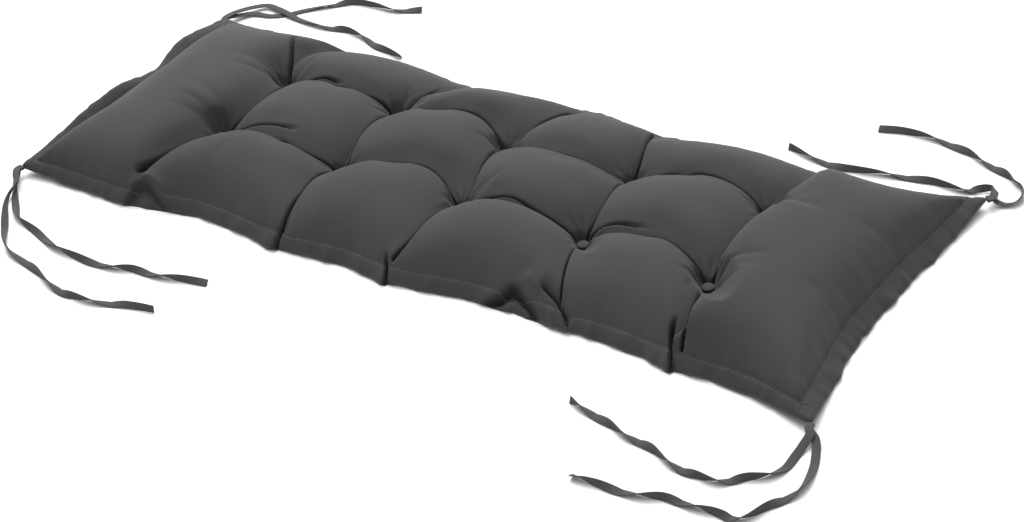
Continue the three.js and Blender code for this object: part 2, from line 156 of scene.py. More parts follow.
@dataclass(frozen=True)
class WovenPolyester:
    """Spun polyester, woven and dyed in the piece: matt, a little sheen where the light grazes it."""

    name: str
    cloth: str = "3f3f3f"
    shade: str = "393939"
    # Real threads lie about 0.5 mm apart, too fine to show here, so they are drawn coarser.
    thread_mm: float = 1.6
    # Dye takes unevenly over a hand's width, which keeps a large puff from looking flat.
    patches_in_metre: float = 9.0
    fuzz_in_metre: float = 900.0
    bump_mm: float = 0.05
    bump_strength: float = 0.5
    # How much the threads' crossings show beside the dye's patches, and the fuzz beside the crossings.
    crossing_share: float = 0.35
    fuzz_share: float = 0.5
    # Where in the mixed pattern the cloth is in its shade, and where in its full colour.
    shade_at: float = 0.35
    cloth_at: float = 0.95
    # Painted shade: deep in a fold the cloth lies face to face and hardly any light comes back out, so there
    # the colour is painted down to this share of its shade.
    painted_fold_light: float = 0.12
    roughness: float = 0.86
    roughness_range: float = 0.05
    ior: float = 1.48
    specular: float = 0.25
    sheen: float = 0.12
    sheen_roughness: float = 0.45

    def material(self) -> bpy.types.Material:
        """Builds the cloth's material.

        Returns:
            A material whose weave follows the mesh's cloth map.
        """
        material, tree = blank_material(self.name)
        flat = add_node(tree, "ShaderNodeUVMap", {"uv_map": "Cloth"})
        warp, weft = (self._threads(tree, flat.outputs[0], turn) for turn in ("X", "Y"))
        crossing = add_node(tree, "ShaderNodeMath", {"operation": "MAXIMUM"}, links={0: warp, 1: weft})
        place = add_node(tree, "ShaderNodeTexCoord")
        patches, fuzz = (
            add_node(
                tree,
                "ShaderNodeTexNoise",
                values={"Scale": scale, "Detail": detail, "Roughness": rough},
                links={"Vector": place.outputs["Object"]},
            )
            for scale, detail, rough in (
                (self.patches_in_metre, 3.0, 0.55), (self.fuzz_in_metre, 2.0, 0.6),
            )
        )
        blend, height = (
            add_node(
                tree,
                "ShaderNodeMath",
                {"operation": "MULTIPLY_ADD"},
                values={1: share},
                links={0: scaled.outputs[0], 2: added.outputs[0]},
            )
            for scaled, share, added in (
                (crossing, self.crossing_share, patches), (fuzz, self.fuzz_share, crossing),
            )
        )
        shade, cloth = linear(self.shade)[:3], linear(self.cloth)[:3]
        colour = add_node(
            tree,
            "ShaderNodeMapRange",
            {"clamp": True, "data_type": "FLOAT_VECTOR"},
            values={7: (self.shade_at,) * 3, 8: (self.cloth_at,) * 3, 9: shade, 10: cloth},
            links={6: blend.outputs[0]},
        )
        # Painted shade: the mesh's Fold attribute darkens the colour in the bottoms of the folds, where shade
        # falls.
        fold = add_node(
            tree, "ShaderNodeAttribute", {"attribute_name": "Fold", "attribute_type": "GEOMETRY"}
        )
        folded = add_node(
            tree,
            "ShaderNodeMix",
            {"data_type": "RGBA"},
            values={7: (*(self.painted_fold_light * part for part in shade), 1.0)},
            links={0: fold.outputs["Fac"], 6: colour.outputs[1]},
        )
        bump = add_node(
            tree,
            "ShaderNodeBump",
            values={"Strength": self.bump_strength, "Distance": self.bump_mm * MM},
            links={"Height": height.outputs[0]},
        )
        rough = add_node(
            tree,
            "ShaderNodeMapRange",
            values={3: self.roughness + self.roughness_range, 4: self.roughness - self.roughness_range},
            links={0: crossing.outputs[0]},
        )
        shader = add_node(
            tree,
            "ShaderNodeBsdfPrincipled",
            values={
                "IOR": self.ior,
                "Specular IOR Level": self.specular,
                "Sheen Weight": self.sheen,
                "Sheen Roughness": self.sheen_roughness,
            },
            links={
                "Base Color": folded.outputs[2],
                "Roughness": rough.outputs[0],
                "Normal": bump.outputs[0],
            },
        )
        add_node(tree, "ShaderNodeOutputMaterial", links={"Surface": shader.outputs[0]})
        return material

    def _threads(
        self, tree: bpy.types.NodeTree, flat: bpy.types.NodeSocket, turn: str
    ) -> bpy.types.NodeSocket:
        """Draws one set of threads as rounded ridges.

        Args:
            tree: the material's node tree.
            flat: the cloth map's socket.
            turn: the axis across the threads, "X" or "Y".

        Returns:
            The socket that holds the ridges' height, from 0 to 1.
        """
        ridges = add_node(
            tree,
            "ShaderNodeTexWave",
            {"wave_type": "BANDS", "bands_direction": turn, "wave_profile": "SIN"},
            values={
                "Scale": band_scale(self.thread_mm),
                "Distortion": 0.3,
                "Detail": 1.0,
                "Detail Scale": 0.6,
            },
            links={"Vector": flat},
        )
        return ridges.outputs[1]


@dataclass(frozen=True)
class SpunThread:
    """Polyester sewing thread, twisted and waxed: a tone lighter than the cloth, with a soft gloss."""

    name: str = "Twisted polyester thread"
    colour: str = "5c5c5c"
    roughness: float = 0.55
    ior: float = 1.5
    twist_mm: float = 0.8
    bump_mm: float = 0.1
    bump_strength: float = 0.6

    def material(self) -> bpy.types.Material:
        """Builds the thread's material.

        Returns:
            A material whose twist shows as slanted bands.
        """
        material, tree = blank_material(self.name)
        place = add_node(tree, "ShaderNodeTexCoord")
        twist = add_node(
            tree,
            "ShaderNodeTexWave",
            {"wave_type": "BANDS", "bands_direction": "DIAGONAL"},
            values={"Scale": band_scale(self.twist_mm), "Distortion": 0.0},
            links={"Vector": place.outputs["Object"]},
        )
        bump = add_node(
            tree,
            "ShaderNodeBump",
            values={"Strength": self.bump_strength, "Distance": self.bump_mm * MM},
            links={"Height": twist.outputs[1]},
        )
        shader = add_node(
            tree,
            "ShaderNodeBsdfPrincipled",
            values={"Base Color": linear(self.colour), "Roughness": self.roughness, "IOR": self.ior},
            links={"Normal": bump.outputs[0]},
        )
        add_node(tree, "ShaderNodeOutputMaterial", links={"Surface": shader.outputs[0]})
        return material


def wavy(waves: Rows, place: np.ndarray) -> np.ndarray:
    """Adds up sine waves, each given by its length, height and phase, at places along a line."""
    return sum(height * np.sin(2 * np.pi * place / length + phase) for length, height, phase in waves)


def walked_length(line: np.ndarray) -> np.ndarray:
    """The length of a line of points, from its start up to each point."""
    return np.concatenate([[0], np.cumsum(np.linalg.norm(np.diff(line, axis=0), axis=1))])


def round_rim(grid: np.ndarray) -> np.ndarray:
    """The entries along the rim of a grid, all the way round."""
    return np.concatenate([grid[:, 0], grid[-1, 1:], grid[-2::-1, -1], grid[0, -2:0:-1]])


def tube_walls(number: np.ndarray) -> list[list[int]]:
    """Faces between neighbouring rings of points.

    Args:
        number: point numbers, by ring on the last axis but one and round each ring on the last.

    Returns:
        The point numbers of each face.
    """
    after = np.roll(number, -1, axis=-1)
    corners = (number[..., :-1, :], number[..., 1:, :], after[..., 1:, :], after[..., :-1, :])
    return np.stack(corners, axis=-1).reshape(-1, 4).tolist()


@dataclass(frozen=True)
class Curve:
    """A smooth curve through points, eased by the square root of their spacing."""

    points: np.ndarray

    def at(self, share: np.ndarray) -> np.ndarray:
        """Points of the curve.

        Args:
            share: places from 0 to 1, with equal shares between the points.

        Returns:
            One row of x, y, z for each place.
        """
        p = self.points
        held = np.vstack([2 * p[0] - p[1], p, 2 * p[-1] - p[-2]])
        place = np.clip(np.asarray(share, dtype=float), 0, 1) * (len(p) - 1)
        leg = np.minimum(place.astype(int), len(p) - 2)
        t = (place - leg)[:, None]
        before, start, end, after = (held[leg + k] for k in range(4))
        d0, d1, d2 = (
            np.sqrt(np.linalg.norm(b - a, axis=1))[:, None]
            for a, b in ((before, start), (start, end), (end, after))
        )
        out = ((start - before) / d0 - (end - before) / (d0 + d1) + (end - start) / d1) * d1
        into = ((end - start) / d1 - (after - start) / (d1 + d2) + (after - end) / d2) * d1
        square, cube = t**2, t**3
        return (
            (2 * cube - 3 * square + 1) * start
            + (cube - 2 * square + t) * out
            + (3 * square - 2 * cube) * end
            + (cube - square) * into
        )


@dataclass(frozen=True)
class Corner:
    """A sewn corner: the tip of the flange, and the way out of the cushion there."""

    x: float
    y: float
    z: float
    out_x: float
    out_y: float

    def tip(self) -> np.ndarray:
        """The tip's place."""
        return np.array([self.x, self.y, self.z])

    def out(self) -> np.ndarray:
        """The level way out, of length one."""
        way = np.array([self.out_x, self.out_y, 0.0])
        return way / np.linalg.norm(way)


CORNERS = {
    "near_left": Corner(-586, -217, 12, -0.25, -1),
    "near_right": Corner(590, -227, 12, 0.2, -1),
    "far_left": Corner(-562, 192, 12, -0.15, 1),
    "far_right": Corner(599, 227, 12, 1, 1),
}


class Side(Enum):
    """The four sides of the cushion, each with its level way in."""

    NEAR = (0, 1)
    FAR = (0, -1)
    LEFT = (1, 0)
    RIGHT = (-1, 0)


def arch(share: np.ndarray, squareness: float) -> np.ndarray:
    """A round arch over 0 to 1, flatter on top as squareness grows."""
    return 1 - np.abs(2 * share - 1) ** squareness


def smooth(low: float, high: float, value: np.ndarray) -> np.ndarray:
    """Rises smoothly from 0 at low to 1 at high."""
    share = np.clip((value - low) / (high - low), 0, 1)
    return share * share * (3 - 2 * share)


def carried(coarse: np.ndarray, fine: np.ndarray) -> np.ndarray:
    """Weights that carry values from coarse grid lines to fine ones on a smooth curve.

    Args:
        coarse: places of the coarse lines.
        fine: places of the fine lines.

    Returns:
        One row of weights over the coarse lines for each fine line.
    """
    place = np.interp(fine, coarse, np.arange(len(coarse)))
    leg = np.minimum(place.astype(int), len(coarse) - 2)
    t = place - leg
    shares = (
        (-t + 2 * t**2 - t**3) / 2,
        (2 - 5 * t**2 + 3 * t**3) / 2,
        (t + 4 * t**2 - 3 * t**3) / 2,
        (t**3 - t**2) / 2,
    )
    weights = np.zeros((len(fine), len(coarse)))
    for offset, share in enumerate(shares, start=-1):
        column = np.clip(leg + offset, 0, len(coarse) - 1)
        np.add.at(weights, (np.arange(len(fine)), column), share)
    return weights


# The way that each puff overlaps its neighbour: it stands over the one behind it and to its left.
OVERLAP_WAY = np.array([0.617, -0.787])


@dataclass(frozen=True)
class Fold:
    """A fold pressed into the cloth, with its own width on each side of its path."""

    depth: float
    # Widths left and right of the path.
    wide: float
    steep: float
    # Shares of the path over which the fold begins and dies away.
    begins: float
    dies: float
    path: Rows
    # The soft lip on the right: height, width in widths of that side, and place in widths of its own.
    lip: float = 0.0
    lip_wide: float = 2.0
    lip_at: float = 1.5
    # 1 is a soft pinch, and more is a slot with upright walls.
    power: float = 1.0
    # Straight pieces that the path is measured by.
    pieces: int = 20
    # How strongly the fold draws the grid lines together, and from how far.
    pull: float = 0.6
    pull_reach: float = 8.0
    # Painted shade: how dark its bottom is painted, from 0 to 1, for how little light it gets, and how far up
    # the walls that reaches, in widths.
    shadow: float = 0.0
    shadow_reach: float = 1.6
    # How far the cloth on its overlapping side stands over the other side, and how far that reaches.
    lean: float = 0.0
    lean_reach: float = 26.0
    lean_fade: float = 1.4
    # Beyond this many reaches nothing is left of it.
    lean_end: float = 2.2
    # Width of the step from one side to the other, and the share of it that goes down behind.
    lean_step: float = 0.8
    lean_drop: float = 0.25

    def _beside(self, spot: np.ndarray) -> tuple[np.ndarray, ...]:
        """Which grid points lie near the fold, and how they lie to its path.

        Args:
            spot: plan places in millimetres, by grid line along and across.

        Returns:
            A mask of the near points, and for each of them its distance from the path, whether it lies left
            of it, the fold's strength there from 0 to 1, its share of the path, and the offset to the path.
        """
        route = np.array([(x, y, 0.0) for x, y in self.path])
        line = Curve(route).at(np.linspace(0, 1, self.pieces + 1))[:, :2]
        reach = 3 * (self.wide + self.steep) + 2 * self.pull_reach
        if self.lean:
            reach += self.lean_end * self.lean_reach
        near = np.all((spot > line.min(axis=0) - reach) & (spot < line.max(axis=0) + reach), axis=2)
        points = spot[near]
        closest = np.full(len(points), np.inf)
        side, share = np.zeros(len(points)), np.zeros(len(points))
        to_path = np.zeros((len(points), 2))
        for leg, (start, end) in enumerate(zip(line[:-1], line[1:])):
            way = end - start
            offset = points - start
            along = np.clip(offset @ way / (way @ way), 0, 1)
            across = along[:, None] * way - offset
            away = np.linalg.norm(across, axis=1)
            nearer = away < closest
            closest = np.where(nearer, away, closest)
            side = np.where(nearer, way[0] * offset[:, 1] - way[1] * offset[:, 0], side)
            share = np.where(nearer, (leg + along) / self.pieces, share)
            to_path = np.where(nearer[:, None], across, to_path)
        strength = smooth(0, self.begins, share) * (1 - smooth(1 - self.dies, 1, share))
        return near, closest, side > 0, strength, share, to_path

    def rise(self, spot: np.ndarray) -> np.ndarray:
        """How the fold changes the height of the cloth.

        Args:
            spot: plan places in millimetres, by grid line along and across.

        Returns:
            Change of height in millimetres, by grid line along and across.
        """
        near, closest, is_left, strength, share, to_path = self._beside(spot)
        cut = self.depth * np.exp(-((closest / np.where(is_left, self.wide, self.steep)) ** self.power))
        crest = self.lip * np.exp(-((closest / (self.lip_wide * self.steep) - self.lip_at) ** 2)) * ~is_left
        over = 0.5 - 0.5 * np.tanh(to_path @ OVERLAP_WAY / self.lean_step) - self.lean_drop
        step = self.lean * arch(share, 2) * over * np.exp(-((closest / self.lean_reach) ** self.lean_fade))
        rise = np.zeros(spot.shape[:2])
        rise[near] = strength * (crest - cut + step)
        return rise

    def shade(self, spot: np.ndarray) -> np.ndarray:
        """How far the fold shuts the light out, as painted shade on the cloth's colour.

        Args:
            spot: plan places in millimetres, by grid line along and across.

        Returns:
            Shares from 0 to 1, by grid line along and across.
        """
        near, closest, _, strength, *_ = self._beside(spot)
        shade = np.zeros(spot.shape[:2])
        reach = self.shadow_reach * min(self.wide, self.steep)
        shade[near] = self.shadow * strength * np.exp(-((closest / reach) ** 3))
        return shade

    def gathered(self, spot: np.ndarray) -> np.ndarray:
        """Draws the grid lines together beside the fold, so that its walls are crisp.

        Args:
            spot: plan places in millimetres, by grid line along and across.

        Returns:
            The new plan places.
        """
        near, closest, _, strength, _, to_path = self._beside(spot)
        drawn = spot.copy()
        share = self.pull * strength * np.exp(-((closest / self.pull_reach) ** 2))
        drawn[near] += share[:, None] * to_path
        return drawn


@dataclass(frozen=True)
class Settling:
    """The short cloth simulation in which the filled cover swells, wrinkles and comes to rest."""

    column_steps: tuple[int, ...] = (24, 18, 18, 18, 18, 24)
    row_steps: tuple[int, ...] = (18, 18, 18)
    flange_lines: tuple[float, ...] = (1.0, 0.5)
    gather: float = 0.6
    frames: int = 20
    quality: int = 6
    mass: float = 0.3
    stretch: float = 30.0
    shear: float = 10.0
    bending: float = 1.0
    pressure: float = 4.0
    # Spare cloth that the puffs have over their drawn shape, and its share in the end panels and by the rim.
    growth: float = 0.015
    edge_share: float = 0.3
    # Where the full share begins, in puffs from the last tufts, and between which puffs from the long rims.
    end_fade: float = 0.2
    rim_fade: tuple[float, float] = (0.35, 0.8)
    # Radius held at each tuft, gap between layers of cloth, and the furthest that a point may move.
    seat: float = 9.0
    layer_gap: float = 2.0
    most_move: float = 3.5
    smoothing: int = 2

    def give(self, cloth: bpy.types.Modifier) -> None:
        """Sets a Cloth modifier up.

        Args:
            cloth: the modifier of a piece whose vertex groups are "hold" and "tight".
        """
        settings, meeting = cloth.settings, cloth.collision_settings
        settings.quality, settings.mass = self.quality, self.mass
        settings.tension_stiffness = settings.compression_stiffness = self.stretch
        settings.shear_stiffness, settings.bending_stiffness = self.shear, self.bending
        settings.use_pressure, settings.uniform_pressure_force = True, self.pressure
        settings.effector_weights.gravity = 0
        settings.vertex_group_mass = "hold"
        settings.shrink_max, settings.shrink_min = 0.0, -self.growth
        settings.vertex_group_shrink = "tight"
        meeting.use_collision, meeting.use_self_collision = False, True
        meeting.self_distance_min = self.layer_gap * MM
        cloth.point_cache.frame_start, cloth.point_cache.frame_end = 1, self.frames


def slot(depth: float, width: float, begins: float, dies: float, path: Rows) -> Fold:
    """A crease where two puffs press together: a narrow slot with upright walls, and full painted shade in
    its bottom.
    """
    return Fold(depth, 0.55 * width, 0.55 * width, begins, dies, path, power=3, shadow=1.0, lean=7.0)


# Creases between the tufts, from the plan of the bench: some run as two arcs that pass each other.
CREASES = (
    # Along the bench in the near row, left to right.
    slot(13, 3.0, 0.04, 0.4, ((-347, -73), (-312, -61), (-280, -58), (-250, -57), (-222, -56))),
    slot(16, 3.4, 0.35, 0.04, ((-250, -72), (-228, -78), (-206, -80), (-180, -78), (-152, -74))),
    slot(12, 2.6, 0.04, 0.4, ((-152, -74), (-130, -71), (-100, -64), (-65, -54))),
    slot(16, 3.4, 0.3, 0.04, ((-95, -64), (-60, -54), (-38, -50), (-12, -54), (12, -66), (31, -73))),
    slot(9, 2.2, 0.1, 0.1, ((31, -73), (70, -65), (102, -62), (150, -70), (209, -73))),
    slot(13, 2.8, 0.04, 0.4, ((209, -73), (225, -58), (244, -51), (297, -48))),
    slot(16, 3.2, 0.35, 0.04, ((285, -60), (308, -58), (331, -61), (362, -70), (386, -83))),
    # Along the bench in the far row, left to right.
    slot(12, 2.8, 0.05, 0.3, ((-340, 60), (-310, 66), (-283, 72), (-250, 70))),
    slot(13, 2.8, 0.3, 0.05, ((-262, 66), (-216, 63), (-187, 65), (-160, 61))),
    slot(9, 2.2, 0.05, 0.5, ((-160, 61), (-125, 64), (-95, 66))),
    slot(17, 3.6, 0.2, 0.05, ((-95, 68), (-66, 76), (-38, 77), (-12, 68), (17, 52))),
    slot(11, 2.4, 0.05, 0.1, ((17, 52), (48, 46), (73, 45), (120, 48), (169, 44), (203, 57))),
    slot(14, 3.0, 0.04, 0.4, ((203, 57), (220, 61), (238, 66), (267, 75))),
    slot(17, 3.6, 0.3, 0.04, ((275, 74), (290, 78), (314, 80), (353, 74), (389, 62))),
    # Across the bench, near, middle and far, at each tuft from left to right.
    slot(20, 4.2, 0.08, 0.1, ((-349, -80), (-362, -112), (-374, -142), (-388, -168), (-404, -190))),
    slot(14, 3.0, 0.08, 0.08, ((-347, -73), (-335, -45), (-327, -20), (-331, 20), (-340, 60))),
    slot(13, 3.0, 0.06, 0.2, ((-340, 60), (-348, 76), (-358, 98), (-371, 120), (-382, 140))),
    slot(17, 3.8, 0.08, 0.06, ((-153, -78), (-160, -110), (-158, -145), (-159, -178), (-157, -200))),
    slot(14, 3.0, 0.08, 0.08, ((-152, -74), (-150, -54), (-158, -8), (-162, 28), (-160, 61))),
    slot(8, 2.8, 0.06, 0.5, ((-160, 61), (-146, 78), (-134, 105), (-124, 135))),
    slot(17, 3.6, 0.08, 0.06, ((31, -77), (28, -105), (26, -130), (20, -168), (8, -194))),
    slot(14, 3.0, 0.08, 0.08, ((31, -73), (36, -48), (26, -7), (20, 25), (17, 52))),
    slot(12, 2.8, 0.06, 0.25, ((17, 52), (34, 64), (40, 96), (52, 126), (62, 150))),
    slot(12, 2.6, 0.08, 0.25, ((209, -77), (218, -105), (225, -132), (235, -162), (242, -184))),
    slot(14, 3.0, 0.08, 0.08, ((209, -73), (212, -34), (206, 5), (200, 40), (203, 57))),
    slot(17, 3.6, 0.06, 0.2, ((203, 57), (201, 74), (193, 110), (184, 136), (176, 158))),
    slot(18, 3.6, 0.08, 0.06, ((387, -88), (396, -116), (402, -144), (408, -172), (410, -192))),
    slot(14, 3.0, 0.08, 0.08, ((386, -83), (390, -63), (391, -22), (388, 20), (389, 62))),
    slot(15, 3.2, 0.06, 0.2, ((389, 62), (405, 78), (411, 104), (414, 130), (416, 154))),
)

# Soft pleats and tucks: depth, width on the left, width on the right, where it begins and dies, and its path.
PLEATS = (
    Fold(3.5, 9, 4, 0.2, 0.6, ((-352, -66), (-372, -48), (-398, -34), (-430, -26)), lip=1.0),
    Fold(3.0, 8, 4, 0.2, 0.6, ((-354, -72), (-380, -64), (-412, -60), (-448, -60)), lip=0.8),
    Fold(3.0, 8, 4, 0.2, 0.6, ((-346, 56), (-366, 40), (-392, 30), (-420, 26)), lip=0.8),
    Fold(5.0, 6, 3, 0.1, 0.4, ((-337, 66), (-333, 82), (-328, 106), (-318, 122)), lip=1.5),
    Fold(4.0, 6, 3, 0.1, 0.5, ((-156, 68), (-160, 88), (-160, 112)), lip=1.2),
    Fold(4.0, 6, 3, 0.1, 0.5, ((-150, 66), (-136, 76), (-118, 96)), lip=1.2),
    Fold(3.5, 8, 4, 0.2, 0.6, ((394, -80), (414, -66), (442, -56), (470, -54)), lip=0.8),
    Fold(3.0, 8, 4, 0.2, 0.6, ((396, -86), (420, -88), (450, -96)), lip=0.8),
    Fold(3.5, 8, 4, 0.2, 0.6, ((396, 64), (424, 58), (456, 52), (490, 50)), lip=1.0),
    Fold(2.5, 7, 5, 0.3, 0.5, ((-306, -112), (-300, -134), (-300, -160)), lip=0.6),
    Fold(3.0, 7, 4, 0.3, 0.5, ((215, -84), (240, -96), (262, -112)), lip=0.8),
    Fold(3.0, 7, 4, 0.3, 0.5, ((38, -66), (60, -40), (76, -20)), lip=0.8),
)

# Where the near flange is folded over on itself: steps down towards the floor, with painted shade in their
# bottoms, and the flaps beside them.
FLANGE_FOLDS = (
    Fold(9, 1.4, 13, 0.08, 0.08, ((-408, -221), (-398, -205), (-387, -194), (-361, -199), (-334, -208)),
         power=1.6, shadow=0.5),
    Fold(-3.5, 5, 2, 0.2, 0.2, ((-404, -211), (-397, -202), (-387, -190), (-361, -195), (-340, -202)),
         power=1.6),
    Fold(11, 1.6, 9, 0.1, 0.05, ((112, -201), (135, -198), (156, -190), (172, -176)), power=1.6, shadow=1.0),
    Fold(10, 1.6, 4, 0.05, 0.1, ((172, -176), (184, -180), (197, -185), (222, -197)), power=1.6, shadow=1.0),
    Fold(-5, 9, 9, 0.2, 0.2, ((182, -167), (202, -175), (224, -187), (242, -197))),
    Fold(12, 7, 1.6, 0.15, 0.15, ((208, -169), (225, -174), (243, -181), (264, -199)), power=1.6, shadow=1.0),
    Fold(14, 2.2, 2.2, 0.25, 0.05, ((387, -158), (390, -176), (398, -194), (408, -214)), power=3, shadow=1.0),
    Fold(12, 2.0, 2.0, 0.3, 0.05, ((-4, -186), (2, -196), (6, -206), (8, -216)), power=3, shadow=1.0),
    Fold(10, 2.0, 2.0, 0.3, 0.05, ((-158, -188), (-160, -198), (-161, -208), (-161, -218)),
         power=3, shadow=1.0),
)


def chance(number: int) -> float:
    """A number from 0 to 1 as if drawn by chance: the last digits of a large sine, the same in each run."""
    turn, size = 12.9898, 43758.5453
    return (math.sin(turn * number) * size) % 1.0


@dataclass(frozen=True)
class PleatFan:
    """Small pleats that fan out round a tuft, where the cloth is drawn in."""

    count: int = 11
    # Least depth, length and width in millimetres, and how much depth and length chance adds.
    depth: float = 2.2
    more_depth: float = 1.8
    length: float = 20.0
    more_length: float = 26.0
    wide: float = 3.4
    steep: float = 1.2
    # Distance from the tuft at which a pleat starts, and places of its points, as shares of its length.
    start: float = 5.0
    places: tuple[float, ...] = (0, 0.35, 0.7, 1)
    # How far a pleat strays from even spacing, as a share of it, and its bend in radians over a distance.
    stray: float = 0.7
    bend: float = 0.25
    bend_over: float = 40.0

    def folds(self, number: int, x: float, y: float) -> tuple[Fold, ...]:
        """The pleats of one tuft.

        Args:
            number: the tuft's number, which its chances come from.
            x: the tuft's x.
            y: the tuft's y.

        Returns:
            Its pleats.
        """
        pleats = []
        for k in range(self.count):
            drawn = chance(number * self.count + k + 1)
            turn = 2 * math.pi * (k + self.stray * drawn) / self.count
            length, bend = self.length + self.more_length * drawn, self.bend * math.sin(7 * k + number)
            path = []
            for r in (self.start + place * length for place in self.places):
                angle = turn + bend * r / self.bend_over
                path.append((x + r * math.cos(angle), y + r * math.sin(angle)))
            depth = self.depth + self.more_depth * drawn
            # Each pleat's bottom gets a little painted shade.
            pleats.append(
                Fold(depth, self.wide, self.steep, 0.15, 0.75, tuple(path), 1.0, pieces=6, pull=0, shadow=0.2)
            )
        return tuple(pleats)


@dataclass(frozen=True)
class Ruffle:
    """The unevenness of the flange's outer edge: small waves, and steps where the creases draw it in."""

    # Length, height and phase of each wave, in millimetres and radians.
    waves: Rows = ((61, 0.9, 0.3), (37, 0.8, 1.7), (22, 0.6, 4.0), (13, 0.3, 2.2))
    sideways: Rows = ((83, 0.9, 1.1), (47, 0.7, 3.9), (29, 0.5, 0.6), (17, 0.3, 5.2))
    # Steps of the near edge: place along it, how far the cloth before it stands out, and after it draws in.
    steps: Rows = (
        (-274, 1.5, 1.5), (-160, 4.0, 3.5), (8, 3.5, 1.0), (176, 2.0, 2.0), (262, 2.5, 1.0), (404, 7.0, 2.0),
    )
    step_reach: float = 26.0
    step_soft: float = 1.5
    # The waves are shifted by these lengths, out of opposite sides in opposite ways, so that no two match.
    rise_shift: float = 250.0
    outward_shift: float = 400.0
    # The waves grow to their full height over this length from each corner.
    corner_calm: float = 60.0

    def rise(self, place: np.ndarray) -> np.ndarray:
        """How far the edge stands up at places along it, in millimetres."""
        return wavy(self.waves, place)

    def outward(self, place: np.ndarray) -> np.ndarray:
        """How far the edge stands out at places along it, in millimetres."""
        return wavy(self.sideways, place)

    def stepped(self, place: np.ndarray) -> np.ndarray:
        """How far the near edge's steps stand out.

        Args:
            place: places along the edge, in millimetres.

        Returns:
            Millimetres at each place.
        """
        total = np.zeros(len(place))
        for middle, before, after in self.steps:
            away = place - middle
            turn = 0.5 + 0.5 * np.tanh(away / self.step_soft)
            total += (before * (1 - turn) - after * turn) * np.exp(-np.abs(away) / self.step_reach)
        return total


